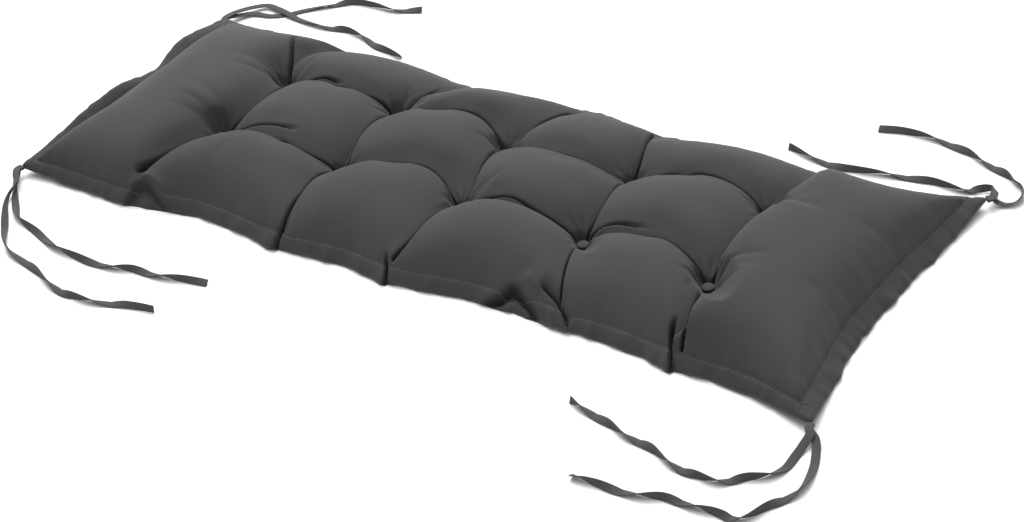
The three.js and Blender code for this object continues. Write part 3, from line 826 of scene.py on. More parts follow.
@dataclass
class TuftedCushion:
    """The filled cover: twelve puffs between two whole end panels, tufted ten times, with a sewn flange."""

    # Outer edge of the flange: x, y, z at each half puff, in millimetres.
    near_edge: Rows = (
        (-507, -216, 6), (-416, -217, 5), (-300, -198, 4), (-154, -211, 5), (-70, -203, 4), (10, -209, 5),
        (127, -193, 4), (250, -196, 6), (325, -195, 4), (404, -203, 5), (490, -204, 5),
    )
    far_edge: Rows = (
        (-450, 196, 8), (-330, 193, 6), (-215, 198, 5), (-108, 188, 7), (-15, 190, 5), (72, 200, 12),
        (135, 194, 6), (198, 190, 9), (300, 200, 6), (418, 198, 7), (510, 206, 9),
    )
    left_edge: Rows = (
        (-575, -164, 24), (-569, -109, 34), (-567, -31, 34), (-562, 35, 20), (-563, 98, 32),
    )
    right_edge: Rows = (
        (580, -143, 4), (573, -73, 4), (576, -3, 4), (581, 64, 4), (590, 133, 5),
    )
    # Tufts: near x, near y, far x, far y.
    tufts: Rows = (
        (-347, -73, -340, 60), (-152, -74, -160, 61), (31, -73, 17, 52), (209, -73, 203, 57),
        (386, -83, 389, 62),
    )
    # Creases across the bench, near to far at each tuft: bow and rise.
    creases_across: tuple[Rows, ...] = (
        ((1, 20), (15, 23), (-18, 22)),
        ((-9, 21), (-2, 22), (6, 21)),
        ((4, 21), (4, 22), (8, 22)),
        ((0, 22), (1, 22), (-9, 21)),
        ((14, 19), (3, 23), (17, 20)),
    )
    # Creases along the bench, left to right in the near and far rows: first bow, second bow and rise.
    creases_along: tuple[Rows, ...] = (
        ((16, -18, 28), (8, 44, 28), (12, -4, 27), (26, 28, 27)),
        ((10, 4, 25), (4, 44, 25), (-8, -14, 25), (12, 32, 25)),
    )
    # Heights of the puffs' crowns over their creases: near, middle and far row.
    crowns: Rows = ((9, 10, 9, 9), (4, 4, 4, 5), (7, 7, 8, 7))
    # The end panels: their crown's height, the rise and squareness of the line under it, their length, and
    # how soon and how sharply the scallops of the tufted crease die away in them.
    end_crown: float = 42
    end_rise: float = 27
    end_squareness: float = 2.6
    end_length: float = 230
    end_fade: float = 42
    end_fade_power: float = 1.3
    # How gently the puffs rise from their creases, from the rim, from the left end's rim, and how gently
    # the left end panel rises from its tufted crease.
    puff_fullness: float = 0.8
    rim_fullness: float = 0.75
    left_rim_fullness: float = 1.4
    left_crease_fullness: float = 1.35
    # How flat the tops of the puffs and end panels are, how full their corners, how square the creases.
    dome_squareness: float = 2.4
    end_dome_squareness: float = 3.2
    corner_fullness: float = 3.0
    crease_squareness: float = 2.2
    seam_height: float = 20
    # Near, far, left and right.
    flange_widths: tuple[float, ...] = (12, 18, 16, 20)
    # Half thicknesses of the flange and of its corners.
    flange_half: float = 1.5
    corner_half: float = 2.4
    # Heights of the cloth at a tuft, above and underneath, and its seat there: radius, and slope beyond it.
    tuft_height: float = 27
    tuft_under: float = 9
    seat_radius: float = 8
    seat_slope: float = 2.1
    # Column and row of the tufts that lie open on the side that their puff overlaps, and the slope there.
    open_tufts: tuple[tuple[int, int], ...] = ((4, 1), (5, 1))
    open_slope: float = 0.6
    # Height of the creases underneath, and how far the puffs bulge down from there.
    crease_under: float = 3
    belly: float = 17
    column_steps: tuple[int, ...] = (72, 60, 60, 60, 60, 72)
    row_steps: tuple[int, ...] = (60, 60, 60)
    # Lines of the flange, as shares of its width from the sewn line, the outer edge first.
    flange_lines: tuple[float, ...] = (1.0, 0.8, 0.6, 0.42, 0.28, 0.18, 0.1, 0.04)
    flange_bulge: float = 1.5
    ruffle: Ruffle = Ruffle()
    pleat_fan: PleatFan = PleatFan()
    # The left end's flange stands up against the panel, with little unevenness.
    end_calm: float = 0.4
    # Length and height of the gathers beside the sewn line, and how far they run into the puffs.
    pucker_waves: Rows = ((46, 0.5), (27, 0.45), (15, 0.25))
    pucker_reach: float = 15.0
    # Where the gathers' waves start at the near, far, left and right sides, so that no two sides match.
    pucker_phases: tuple[float, ...] = (0.4, 1.9, 3.1, 5.0)
    # The flange line that the stitches follow, and the depth of their groove and its share of the width.
    stitch_line: int = 5
    stitch_groove: float = 0.8
    groove_width: float = 0.06
    # The underside keeps every fourth grid line, which its plain shape needs no more of.
    under_stride: int = 4
    settling: Settling = Settling()
    gather: float = 0.82
    # Share of the long and the short sides that the neighbouring flange takes at each corner.
    corner_along: float = 0.018
    corner_across: float = 0.052
    columns: int = field(init=False)
    rows: int = field(init=False)
    edges: dict[Side, Curve] = field(init=False)
    crossings: np.ndarray = field(init=False)
    top: np.ndarray | None = field(default=None, init=False)
    piece: bpy.types.Object | None = field(default=None, init=False)

    def __post_init__(self) -> None:
        """Works out the edge curves and the crossing points of the creases."""
        tips = {name: corner.tip() for name, corner in CORNERS.items()}
        self.edges = {
            side: Curve(np.vstack([tips[first], points, tips[last]]))
            for side, first, points, last in (
                (Side.NEAR, "near_left", self.near_edge, "near_right"),
                (Side.FAR, "far_left", self.far_edge, "far_right"),
                (Side.LEFT, "near_left", self.left_edge, "far_left"),
                (Side.RIGHT, "near_right", self.right_edge, "far_right"),
            )
        }
        self.columns, self.rows = len(self.column_steps), len(self.row_steps)
        self.crossings = self._crossings()

    def flange_edge(self, side: Side, place: np.ndarray) -> np.ndarray:
        """Points of the flange's outer edge.

        Args:
            side: the side of the cushion.
            place: places along that side, counted in puffs.

        Returns:
            One row of x, y, z for each place.
        """
        is_long = side.value[0] == 0
        count, trim = (self.columns, self.corner_along) if is_long else (self.rows, self.corner_across)
        return self.edges[side].at(trim + (1 - 2 * trim) * np.asarray(place, dtype=float) / count)

    def rim(self, side: Side, place: np.ndarray) -> np.ndarray:
        """The sewn line, one flange width inside the outer edge.

        Args:
            side: the side of the cushion.
            place: places along that side, counted in puffs.

        Returns:
            One row of x and y for each place.
        """
        width = self.flange_widths[list(Side).index(side)]
        return self.flange_edge(side, place)[:, :2] + width * np.array(side.value)

    def _crossings(self) -> np.ndarray:
        """Where creases meet: the tufts inside, the sewn line at the rim.

        Returns:
            Plan places by column and row.
        """
        spots = np.zeros((self.columns + 1, self.rows + 1, 2))
        every_row, every_column = np.arange(self.rows + 1.0), np.arange(self.columns + 1.0)
        spots[:, 0] = self.rim(Side.NEAR, every_column)
        spots[:, -1] = self.rim(Side.FAR, every_column)
        spots[0] = self.rim(Side.LEFT, every_row)
        spots[-1] = self.rim(Side.RIGHT, every_row)
        for column, (near_x, near_y, far_x, far_y) in enumerate(self.tufts, start=1):
            spots[column, 1] = near_x, near_y
            spots[column, 2] = far_x, far_y
        return spots

    def across_line(self, column: int, v: np.ndarray) -> np.ndarray:
        """Plan of the crease across the bench at a column.

        Args:
            column: the crease's number, 0 at the left sewn line.
            v: places across the bench, counted in puffs.

        Returns:
            One row of x and y for each place.
        """
        if column in (0, self.columns):
            return self.rim(Side.LEFT if column == 0 else Side.RIGHT, v)
        row = np.minimum(v.astype(int), self.rows - 1)
        t = v - row
        line = self._between(self.crossings[column, row], self.crossings[column, row + 1], t)
        bow = np.array([crease[0] for crease in self.creases_across[column - 1]])[row]
        line[:, 0] += bow * arch(t, 2)
        return line

    def along_line(self, row: int, u: np.ndarray) -> np.ndarray:
        """Plan of the crease along the bench at a row.

        Args:
            row: the crease's number, 0 at the near sewn line.
            u: places along the bench, counted in puffs.

        Returns:
            One row of x and y for each place.
        """
        if row in (0, self.rows):
            return self.rim(Side.NEAR if row == 0 else Side.FAR, u)
        column = np.minimum(u.astype(int), self.columns - 1)
        s = u - column
        line = self._between(self.crossings[column, row], self.crossings[column + 1, row], s)
        first, second = self._by_column(row, 0)[column], self._by_column(row, 1)[column]
        line[:, 1] += 3 * s * (1 - s) * (first * (1 - s) + second * s)
        return line

    def _by_column(self, row: int, value: int) -> np.ndarray:
        """One value of each crease along a row, with none in the end panels."""
        inner = [crease[value] for crease in self.creases_along[row - 1]]
        return np.array([0.0, *inner, 0.0])

    @staticmethod
    def _between(start: np.ndarray, end: np.ndarray, share: np.ndarray) -> np.ndarray:
        """Points on straight lines from start to end."""
        return start + (end - start) * share[:, None]

    def heights(self, top: bool, u: np.ndarray, v: np.ndarray) -> tuple[np.ndarray, np.ndarray, np.ndarray]:
        """Heights of one face of the cover along its creases.

        Args:
            top: True for the upper face.
            u: places along the bench, counted in puffs.
            v: places across the bench, counted in puffs.

        Returns:
            Heights at the crossings, along each crease across the bench, and along each crease along it.
        """
        seam = self.seam_height + (self.flange_half if top else -self.flange_half)
        tuft = self.tuft_height if top else self.tuft_under
        nodes = np.full((self.columns + 1, self.rows + 1), float(seam))
        nodes[1:-1, 1:-1] = tuft
        row = np.minimum(v.astype(int), self.rows - 1)
        column = np.minimum(u.astype(int), self.columns - 1)
        t, s = v - row, u - column
        across = np.full((self.columns + 1, len(v)), float(seam))
        for c in range(1, self.columns):
            rise = np.array([crease[1] for crease in self.creases_across[c - 1]])[row]
            rise = rise if top else self.crease_under - self.tuft_under
            base = nodes[c, row] * (1 - t) + nodes[c, row + 1] * t
            across[c] = base + rise * arch(t, self.crease_squareness)
        along = np.full((self.rows + 1, len(u)), float(seam))
        for r in range(1, self.rows):
            rise = self._by_column(r, 2)[column]
            rise = rise if top else self.crease_under - self.tuft_under
            base = nodes[column, r] * (1 - s) + nodes[column + 1, r] * s
            along[r] = base + rise * arch(s, self.crease_squareness)
        return nodes, across, along

    def plan(self, u: np.ndarray, v: np.ndarray) -> np.ndarray:
        """Plan places of the grid's points, stretched between the creases round each puff.

        Args:
            u: grid lines along the bench, counted in puffs.
            v: grid lines across the bench, counted in puffs.

        Returns:
            x and y by grid line along and across.
        """
        column = np.minimum(u.astype(int), self.columns - 1)
        row = np.minimum(v.astype(int), self.rows - 1)
        s, t = (u - column)[:, None, None], (v - row)[None, :, None]
        across = np.array([self.across_line(c, v) for c in range(self.columns + 1)])
        along = np.array([self.along_line(r, u) for r in range(self.rows + 1)])
        left, right = across[column], across[column + 1]
        near = along[row].transpose(1, 0, 2)
        far = along[row + 1].transpose(1, 0, 2)
        spots = self.crossings
        near_nodes = spots[column][:, row] * (1 - s) + spots[column + 1][:, row] * s
        far_nodes = spots[column][:, row + 1] * (1 - s) + spots[column + 1][:, row + 1] * s
        return left * (1 - s) + right * s + near * (1 - t) + far * t - near_nodes * (1 - t) - far_nodes * t

    def end_height(self, across: np.ndarray, s: np.ndarray, t: np.ndarray, is_left: np.ndarray) -> np.ndarray:
        """Height of the end panels under their crown: the scallops of the tufted crease die away inside them.

        Args:
            across: heights along the creases across the bench.
            s: places along each end panel, from 0 at its left side to 1.
            t: places across the whole bench, from 0 to 1.
            is_left: True where the panel is the left one.

        Returns:
            Heights in millimetres, by grid line along and across.
        """
        toward = np.where(is_left[:, None], s, 1 - s)
        crease = np.where(is_left[:, None], across[1], across[-2])
        seam = across[0]
        level = seam + self.end_rise * arch(t, self.end_squareness)
        fade = np.exp(-(((1 - toward) * self.end_length / self.end_fade) ** self.end_fade_power))
        return seam + (level - seam) * toward + (crease - level) * fade

    @staticmethod
    def dome(share: np.ndarray, low: np.ndarray, high: np.ndarray, squareness: np.ndarray) -> np.ndarray:
        """The rise of a filled puff from side to side.

        Args:
            share: places from one side of the puff to the other, from 0 to 1.
            low: how gently it rises at 0, from an upright 0 to a slope at 1.
            high: how gently it rises at 1.
            squareness: how flat its top is.

        Returns:
            The rise, from 0 to 1.
        """
        return np.maximum(arch(share, squareness), 0) ** (low * (1 - share) + high * share)

    def surface(self, u: np.ndarray, v: np.ndarray, top: bool) -> np.ndarray:
        """One face of the puffed part of the cover.

        Args:
            u: grid lines along the bench, counted in puffs.
            v: grid lines across the bench, counted in puffs.
            top: True for the upper face.

        Returns:
            x, y and z by grid line along and across, in millimetres.
        """
        column = np.minimum(u.astype(int), self.columns - 1)
        row = np.minimum(v.astype(int), self.rows - 1)
        is_end = (column == 0) | (column == self.columns - 1)
        low = np.where(is_end[:, None], 0, row[None, :])
        high = np.where(is_end[:, None], self.rows, row[None, :] + 1)
        s = (u - column)[:, None]
        t = (v[None, :] - low) / (high - low)
        nodes, across, along = self.heights(top, u, v)
        i = np.arange(len(u))[:, None]
        c = column[:, None]
        near_nodes = nodes[c, low] * (1 - s) + nodes[c + 1, low] * s
        far_nodes = nodes[c, high] * (1 - s) + nodes[c + 1, high] * s
        height = across[column] * (1 - s) + across[column + 1] * s
        height = height + along[low, i] * (1 - t) + along[high, i] * t
        height = height - near_nodes * (1 - t) - far_nodes * t
        if top:
            height[is_end] = self.end_height(across, s[is_end], t[is_end], column[is_end] == 0)
        left = np.where(c == 0, self.left_rim_fullness, self.puff_fullness)
        right = np.where(c == self.columns - 1, self.rim_fullness, self.puff_fullness)
        right = np.where(c == 0, self.left_crease_fullness, right)
        near = np.where(low == 0, self.rim_fullness, self.puff_fullness)
        far = np.where(high == self.rows, self.rim_fullness, self.puff_fullness)
        flat = np.where(is_end[:, None], self.end_dome_squareness, self.dome_squareness)
        rises = (self.dome(s, left, right, flat), self.dome(t, near, far, flat))
        # Nearer to the lesser rise than a product is, which keeps the puffs full into their corners.
        mean = sum(np.maximum(rise, TINY) ** -self.corner_fullness for rise in rises) / 2
        bulge = mean ** (-1 / self.corner_fullness)
        spot = self.plan(u, v)
        if top:
            crown = np.full((len(u), len(v)), float(self.end_crown))
            inner = ~is_end
            crown[inner] = np.array(self.crowns)[row][:, column[inner] - 1].T
            height = np.minimum(height + crown * np.minimum(bulge, 1), self.tuft_limit(spot))
        else:
            height = np.maximum(height - self.belly * bulge, 0)
        return np.dstack([spot, height])

    def pressed(self, spot: np.ndarray) -> np.ndarray:
        """How the creases, pleats and tucks change the height of the upper face.

        Args:
            spot: plan places of the grid's points.

        Returns:
            Change of height in millimetres by grid line along and across.
        """
        return sum(fold.rise(spot) for fold in self.folds())

    def folds(self) -> tuple[Fold, ...]:
        """All folds of the cover's upper face."""
        tufts = enumerate((row[k], row[k + 1]) for row in self.tufts for k in (0, 2))
        fans = tuple(fold for number, (x, y) in tufts for fold in self.pleat_fan.folds(number, x, y))
        return CREASES + PLEATS + FLANGE_FOLDS + fans

    def shaded(self, spot: np.ndarray) -> np.ndarray:
        """How far the folds shut the light out, as painted shade from 0 to 1, by grid line along and across.
        """
        return np.max([fold.shade(spot) for fold in self.folds()], axis=0)

    def puckers(self, spot: np.ndarray) -> np.ndarray:
        """Small gathers that run up from the sewn line into the puffs.

        Args:
            spot: plan places of the whole sheet's grid points.

        Returns:
            Change of height in millimetres by grid line along and across.
        """
        n = len(self.flange_lines)
        total = np.zeros(spot.shape[:2])
        seams = ((1, n), (1, -1 - n), (0, n), (0, -1 - n))
        for (axis, line), phase in zip(seams, self.pucker_phases):
            seam = spot.take([line], axis=axis)
            away = np.abs(spot - seam)[:, :, axis]
            place = spot[:, :, 1 - axis]
            waves = tuple((length, size, phase * length) for length, size in self.pucker_waves)
            total += wavy(waves, place) * np.exp(-away / self.pucker_reach)
        return total

    @staticmethod
    def gathered(spot: np.ndarray) -> np.ndarray:
        """Draws the grid's points together beside the creases and the flange's folds.

        Args:
            spot: plan places of the grid's points.

        Returns:
            The new plan places.
        """
        for fold in CREASES + FLANGE_FOLDS:
            spot = fold.gathered(spot)
        return spot

    def tucked(self, under: np.ndarray, top: np.ndarray) -> np.ndarray:
        """Keeps the lower face under the upper one, also where folds press that down.

        Args:
            under: points of the lower face.
            top: points of the upper face on the same grid lines.

        Returns:
            Points of the lower face.
        """
        limit = np.pad(top[:, :, 2] - 2 * self.flange_half, self.under_stride, mode="edge")
        for axis in (0, 1):
            shifts = [np.roll(limit, step, axis) for step in range(-self.under_stride, self.under_stride + 1)]
            limit = np.min(shifts, axis=0)
        inside = slice(self.under_stride, -self.under_stride)
        under[:, :, 2] = np.maximum(np.minimum(under[:, :, 2], limit[inside, inside]), 0)
        return under

    def tuft_limit(self, spot: np.ndarray) -> np.ndarray:
        """The highest that the cloth can stand beside the tufts, which pull it down to small seats.

        Args:
            spot: plan places of the grid's points.

        Returns:
            Heights in millimetres, by grid line along and across.
        """
        limit = np.full(spot.shape[:2], 1e3)
        for column in range(1, self.columns):
            for row in range(1, self.rows):
                beside = spot - self.crossings[column, row]
                away = np.linalg.norm(beside, axis=2)
                slope = np.full(away.shape, self.seat_slope)
                if (column, row) in self.open_tufts:
                    facing = np.clip(beside @ OVERLAP_WAY / np.maximum(away, 1), 0, 1)
                    slope += (self.open_slope - self.seat_slope) * facing**2
                rise = slope * np.maximum(away - self.seat_radius, 0)
                limit = np.minimum(limit, self.tuft_height + rise)
        return limit

    @staticmethod
    def grid_lines(steps: tuple[int, ...], gather: float) -> np.ndarray:
        """Grid lines over the puffs, gathered beside the creases.

        Args:
            steps: steps in each puff.
            gather: how strongly the lines are gathered, from 0 to 1.

        Returns:
            Places of the lines, counted in puffs.
        """
        lines = [0.0]
        for puff, count in enumerate(steps):
            even = np.arange(1, count + 1) / count
            eased = 0.5 - 0.5 * np.cos(np.pi * even)
            lines.extend(puff + even * (1 - gather) + eased * gather)
        return np.array(lines)

    def flange(self, seam: np.ndarray, edge: np.ndarray, share: float) -> np.ndarray:
        """Points of the flange between the sewn line and the outer edge, a little rounded.

        Args:
            seam: points of the sewn line.
            edge: points of the outer edge.
            share: place from the sewn line to the outer edge, from 0 to 1.

        Returns:
            One row of x, y, z for each point.
        """
        points = seam * (1 - share) + edge * share
        from_stitches = (share - self.flange_lines[self.stitch_line]) / self.groove_width
        groove = self.stitch_groove * math.exp(-(from_stitches**2))
        points[..., 2] += self.flange_bulge * math.sin(math.pi * share) - groove
        return points

    def seam_line(self) -> np.ndarray:
        """The closed line of x, y, z on the flange that the topstitching follows."""
        k = self.stitch_line
        return round_rim(self.top[k:-k, k:-k])

    def ruffled(self, side: Side, place: np.ndarray) -> np.ndarray:
        """The flange's outer edge with its unevenness, which leaves the corners in place.

        Args:
            side: the side of the cushion.
            place: places along that side, counted in puffs.

        Returns:
            One row of x, y, z for each place.
        """
        edge = self.flange_edge(side, place)
        axis = 0 if side.value[0] == 0 else 1
        way = -side.value[1 - axis]
        walked = edge[:, axis]
        from_corner = np.minimum(walked - walked[0], walked[-1] - walked)
        calm = smooth(0, self.ruffle.corner_calm, from_corner) * (self.end_calm if side is Side.LEFT else 1)
        outward = self.ruffle.outward(walked + self.ruffle.outward_shift * way)
        if side is Side.NEAR:
            outward = outward + self.ruffle.stepped(walked)
        moved = edge.copy()
        moved[:, 1 - axis] += way * calm * outward
        moved[:, 2] += calm * self.ruffle.rise(walked + self.ruffle.rise_shift * way)
        return moved

    def sheet(
        self, inner: np.ndarray, u: np.ndarray, v: np.ndarray, top: bool, lines: tuple[float, ...]
    ) -> np.ndarray:
        """One whole face of the cover, with the flange round its rim.

        Args:
            inner: points of the puffed part.
            u: grid lines along the bench, counted in puffs.
            v: grid lines across the bench, counted in puffs.
            top: True for the upper face.
            lines: lines of the flange, as shares of its width, the outer edge first.

        Returns:
            x, y and z by grid line along and across, in millimetres.
        """
        n = len(lines)
        whole = np.zeros((len(u) + 2 * n, len(v) + 2 * n, 3))
        whole[n:-n, n:-n] = inner
        up = 1 if top else -1
        lift = np.array([0, 0, up * self.flange_half])
        near, far = (self.ruffled(side, u) + lift for side in (Side.NEAR, Side.FAR))
        left, right = (self.ruffled(side, v) + lift for side in (Side.LEFT, Side.RIGHT))
        for k, share in enumerate(lines):
            whole[n:-n, k] = self.flange(inner[:, 0], near, share)
            whole[n:-n, -1 - k] = self.flange(inner[:, -1], far, share)
            whole[k, n:-n] = self.flange(inner[0], left, share)
            whole[-1 - k, n:-n] = self.flange(inner[-1], right, share)
        corner_lift = np.array([0, 0, up * self.corner_half])
        for name, i_end, j_end in (
            ("near_left", 0, 0), ("near_right", -1, 0), ("far_left", 0, -1), ("far_right", -1, -1),
        ):
            tip = CORNERS[name].tip() + corner_lift
            on_side = (near if j_end == 0 else far)[i_end]
            on_end = (left if i_end == 0 else right)[j_end]
            for a, share_x in enumerate(lines):
                for b, share_y in enumerate(lines):
                    i = a if i_end == 0 else -1 - a
                    j = b if j_end == 0 else -1 - b
                    inside = self.flange(inner[i_end, j_end], on_side, share_y)
                    outside = self.flange(on_end, tip, share_y)
                    whole[i, j] = self.flange(inside, outside, share_x)
        return whole

    @staticmethod
    def closed_faces(count_u: int, count_v: int, stride: int) -> list[list[int]]:
        """Faces of two grids of points, one over the other, joined round their rim.

        Args:
            count_u: points along the upper grid.
            count_v: points across the upper grid.
            stride: how many steps of the upper grid make one of the lower grid.

        Returns:
            The point numbers of each face, all facing out.
        """
        grids, first = [], 0
        for step in (1, stride):
            shape = (count_u - 1) // step + 1, (count_v - 1) // step + 1
            grids.append(first + np.arange(shape[0] * shape[1]).reshape(shape))
            first += shape[0] * shape[1]
        faces: list[list[int]] = []
        for grid, turn in zip(grids, (1, -1)):
            quads = np.stack([grid[:-1, :-1], grid[1:, :-1], grid[1:, 1:], grid[:-1, 1:]], axis=2)
            faces += quads.reshape(-1, 4)[:, ::turn].tolist()
        top, under = (round_rim(grid).tolist() for grid in grids)
        for j, (start, end) in enumerate(zip(under, under[1:] + under[:1])):
            rim = [top[(j * stride + k) % len(top)] for k in range(stride + 1)]
            middle = stride // 2
            faces += [[rim[k], start, rim[k + 1]] for k in range(middle)]
            faces.append([rim[middle], start, end])
            faces += [[rim[k], end, rim[k + 1]] for k in range(middle, stride)]
        return faces

    def settle(self) -> tuple[np.ndarray, np.ndarray, np.ndarray]:
        """Lets the filled cover swell and wrinkle in a short cloth simulation on coarse grid lines.

        Returns:
            The coarse lines along the bench, those across it, and the upper face's moves over them in mm.
        """
        rules = self.settling
        u, v = (self.grid_lines(steps, rules.gather) for steps in (rules.column_steps, rules.row_steps))
        n = len(rules.flange_lines)
        top, under = (
            self.sheet(self.surface(u, v, is_top), u, v, is_top, rules.flange_lines)
            for is_top in (True, False)
        )
        drawn = np.vstack([top.reshape(-1, 3), under.reshape(-1, 3)])
        piece = mesh_piece("settling_cover", drawn, self.closed_faces(*top.shape[:2], 1))
        before = self._places(piece.data)
        hold, tight = self._held(u, v)
        for name, weights in (("hold", hold), ("tight", tight)):
            group = piece.vertex_groups.new(name=name)
            flat = np.ones(len(drawn))
            flat[: top[:, :, 0].size] = np.pad(weights, n, constant_values=1).ravel()
            for number, weight in enumerate(flat.tolist()):
                group.add([number], weight, "REPLACE")
        cloth = piece.modifiers.new("Settling", "CLOTH")
        rules.give(cloth)
        scene = bpy.context.scene
        for step in range(1, rules.frames + 1):
            scene.frame_set(step)
        settled = piece.evaluated_get(bpy.context.evaluated_depsgraph_get()).data
        moves = (self._places(settled) - before)[: top[:, :, 0].size].reshape(top.shape) / MM
        scene.frame_set(1)
        bpy.data.objects.remove(piece, do_unlink=True)
        length = np.maximum(np.linalg.norm(moves, axis=2, keepdims=True), TINY)
        moves *= rules.most_move * np.tanh(length / rules.most_move) / length
        for _ in range(rules.smoothing):
            for axis in (0, 1):
                moves = (np.roll(moves, 1, axis) + 2 * moves + np.roll(moves, -1, axis)) / 4
        LOG.info("settled cover, moves up to %.1f mm", float(length.max()))
        return u, v, moves[n:-n, n:-n]

    @staticmethod
    def _places(mesh: bpy.types.Mesh) -> np.ndarray:
        """The places of a mesh's points, one row each."""
        places = np.zeros(3 * len(mesh.vertices), dtype=np.float32)
        mesh.vertices.foreach_get("co", places)
        return places.reshape(-1, 3)

    def _held(self, u: np.ndarray, v: np.ndarray) -> tuple[np.ndarray, np.ndarray]:
        """Where the upper face is held while it settles, and where it has no spare cloth.

        Args:
            u: grid lines along the bench, counted in puffs.
            v: grid lines across the bench, counted in puffs.

        Returns:
            Weights from 0 to 1 for both, by grid line along and across.
        """
        rules = self.settling
        spot = self.plan(u, v)
        on_line = [np.abs(lines - np.round(lines)) < TINY for lines in (u, v)]
        inside = (u[:, None] > 1 - TINY) & (u[:, None] < self.columns - 1 + TINY)
        creases = (on_line[0][:, None] | (on_line[1][None, :] & inside)) & inside
        hold = creases.astype(float)
        for column in range(1, self.columns):
            for row in range(1, self.rows):
                away = np.linalg.norm(spot - self.crossings[column, row], axis=2)
                hold[away < rules.seat] = 1
        hold[[0, -1]] = 1
        hold[:, [0, -1]] = 1
        begins, full = rules.rim_fade
        tufted = smooth(1 - rules.end_fade, 1, u)
        tufted = tufted * (1 - smooth(self.columns - 1, self.columns - 1 + rules.end_fade, u))
        middle = smooth(begins, full, v) * (1 - smooth(self.rows - full, self.rows - begins, v))
        share = rules.edge_share + (1 - rules.edge_share) * tufted[:, None] * middle[None, :]
        return hold, 1 - np.clip(share, 0, 1)

    def build(self) -> bpy.types.Object:
        """Builds the cover's mesh.

        Returns:
            The new piece.
        """
        u, v = (self.grid_lines(steps, self.gather) for steps in (self.column_steps, self.row_steps))
        coarse_u, coarse_v, moves = self.settle()
        inner, below = self.surface(u, v, True), self.surface(u, v, False)
        level = self.sheet(inner, u, v, True, self.flange_lines)[:, :, :2]
        spot = self.gathered(level)
        inner += np.einsum("ia,abk,jb->ijk", carried(coarse_u, u), moves, carried(coarse_v, v), optimize=True)
        top = self.sheet(inner, u, v, True, self.flange_lines)
        under = self.sheet(below, u, v, False, self.flange_lines)
        top[:, :, :2] += spot - level
        change = self.pressed(spot) + self.puckers(spot)
        top[:, :, 2] = np.maximum(top[:, :, 2] + change, 2 * self.flange_half)
        under = self.tucked(under, top)[:: self.under_stride, :: self.under_stride]
        points = np.vstack([top.reshape(-1, 3), under.reshape(-1, 3)])
        faces = self.closed_faces(*top.shape[:2], self.under_stride)
        self.piece = mesh_piece("padded_cover", points, faces)
        maps = [self._flattened(face) for face in (top, under)]
        along, across = (np.concatenate([m[k].ravel() for m in maps]) for k in (0, 1))
        cloth_map(self.piece, along, across)
        # Painted shade: how far the folds shut the light out, kept on the upper face's points as the Fold
        # attribute, which darkens the cloth's colour.
        shade = np.zeros(len(points), dtype=np.float32)
        shade[: spot[:, :, 0].size] = self.shaded(spot).ravel()
        self.piece.data.attributes.new("Fold", "FLOAT", "POINT").data.foreach_set("value", shade)
        self.top = top
        return self.piece

    @staticmethod
    def _flattened(face: np.ndarray) -> tuple[np.ndarray, np.ndarray]:
        """Lengths over the cloth from the face's middle.

        Args:
            face: points of the face by grid line along and across.

        Returns:
            Millimetres along the bench and across it, by grid line along and across.
        """
        steps_u = np.linalg.norm(np.diff(face, axis=0), axis=2)
        steps_v = np.linalg.norm(np.diff(face, axis=1), axis=2)
        along = np.vstack([np.zeros(face.shape[1]), np.cumsum(steps_u, axis=0)])
        across = np.hstack([np.zeros((face.shape[0], 1)), np.cumsum(steps_v, axis=1)])
        along -= along[face.shape[0] // 2]
        across -= across[:, [face.shape[1] // 2]]
        return along, across

    def dress(self, cover: bpy.types.Material) -> None:
        self.piece.data.materials.append(cover)
        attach(self.piece, "root")
        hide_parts("cushion")


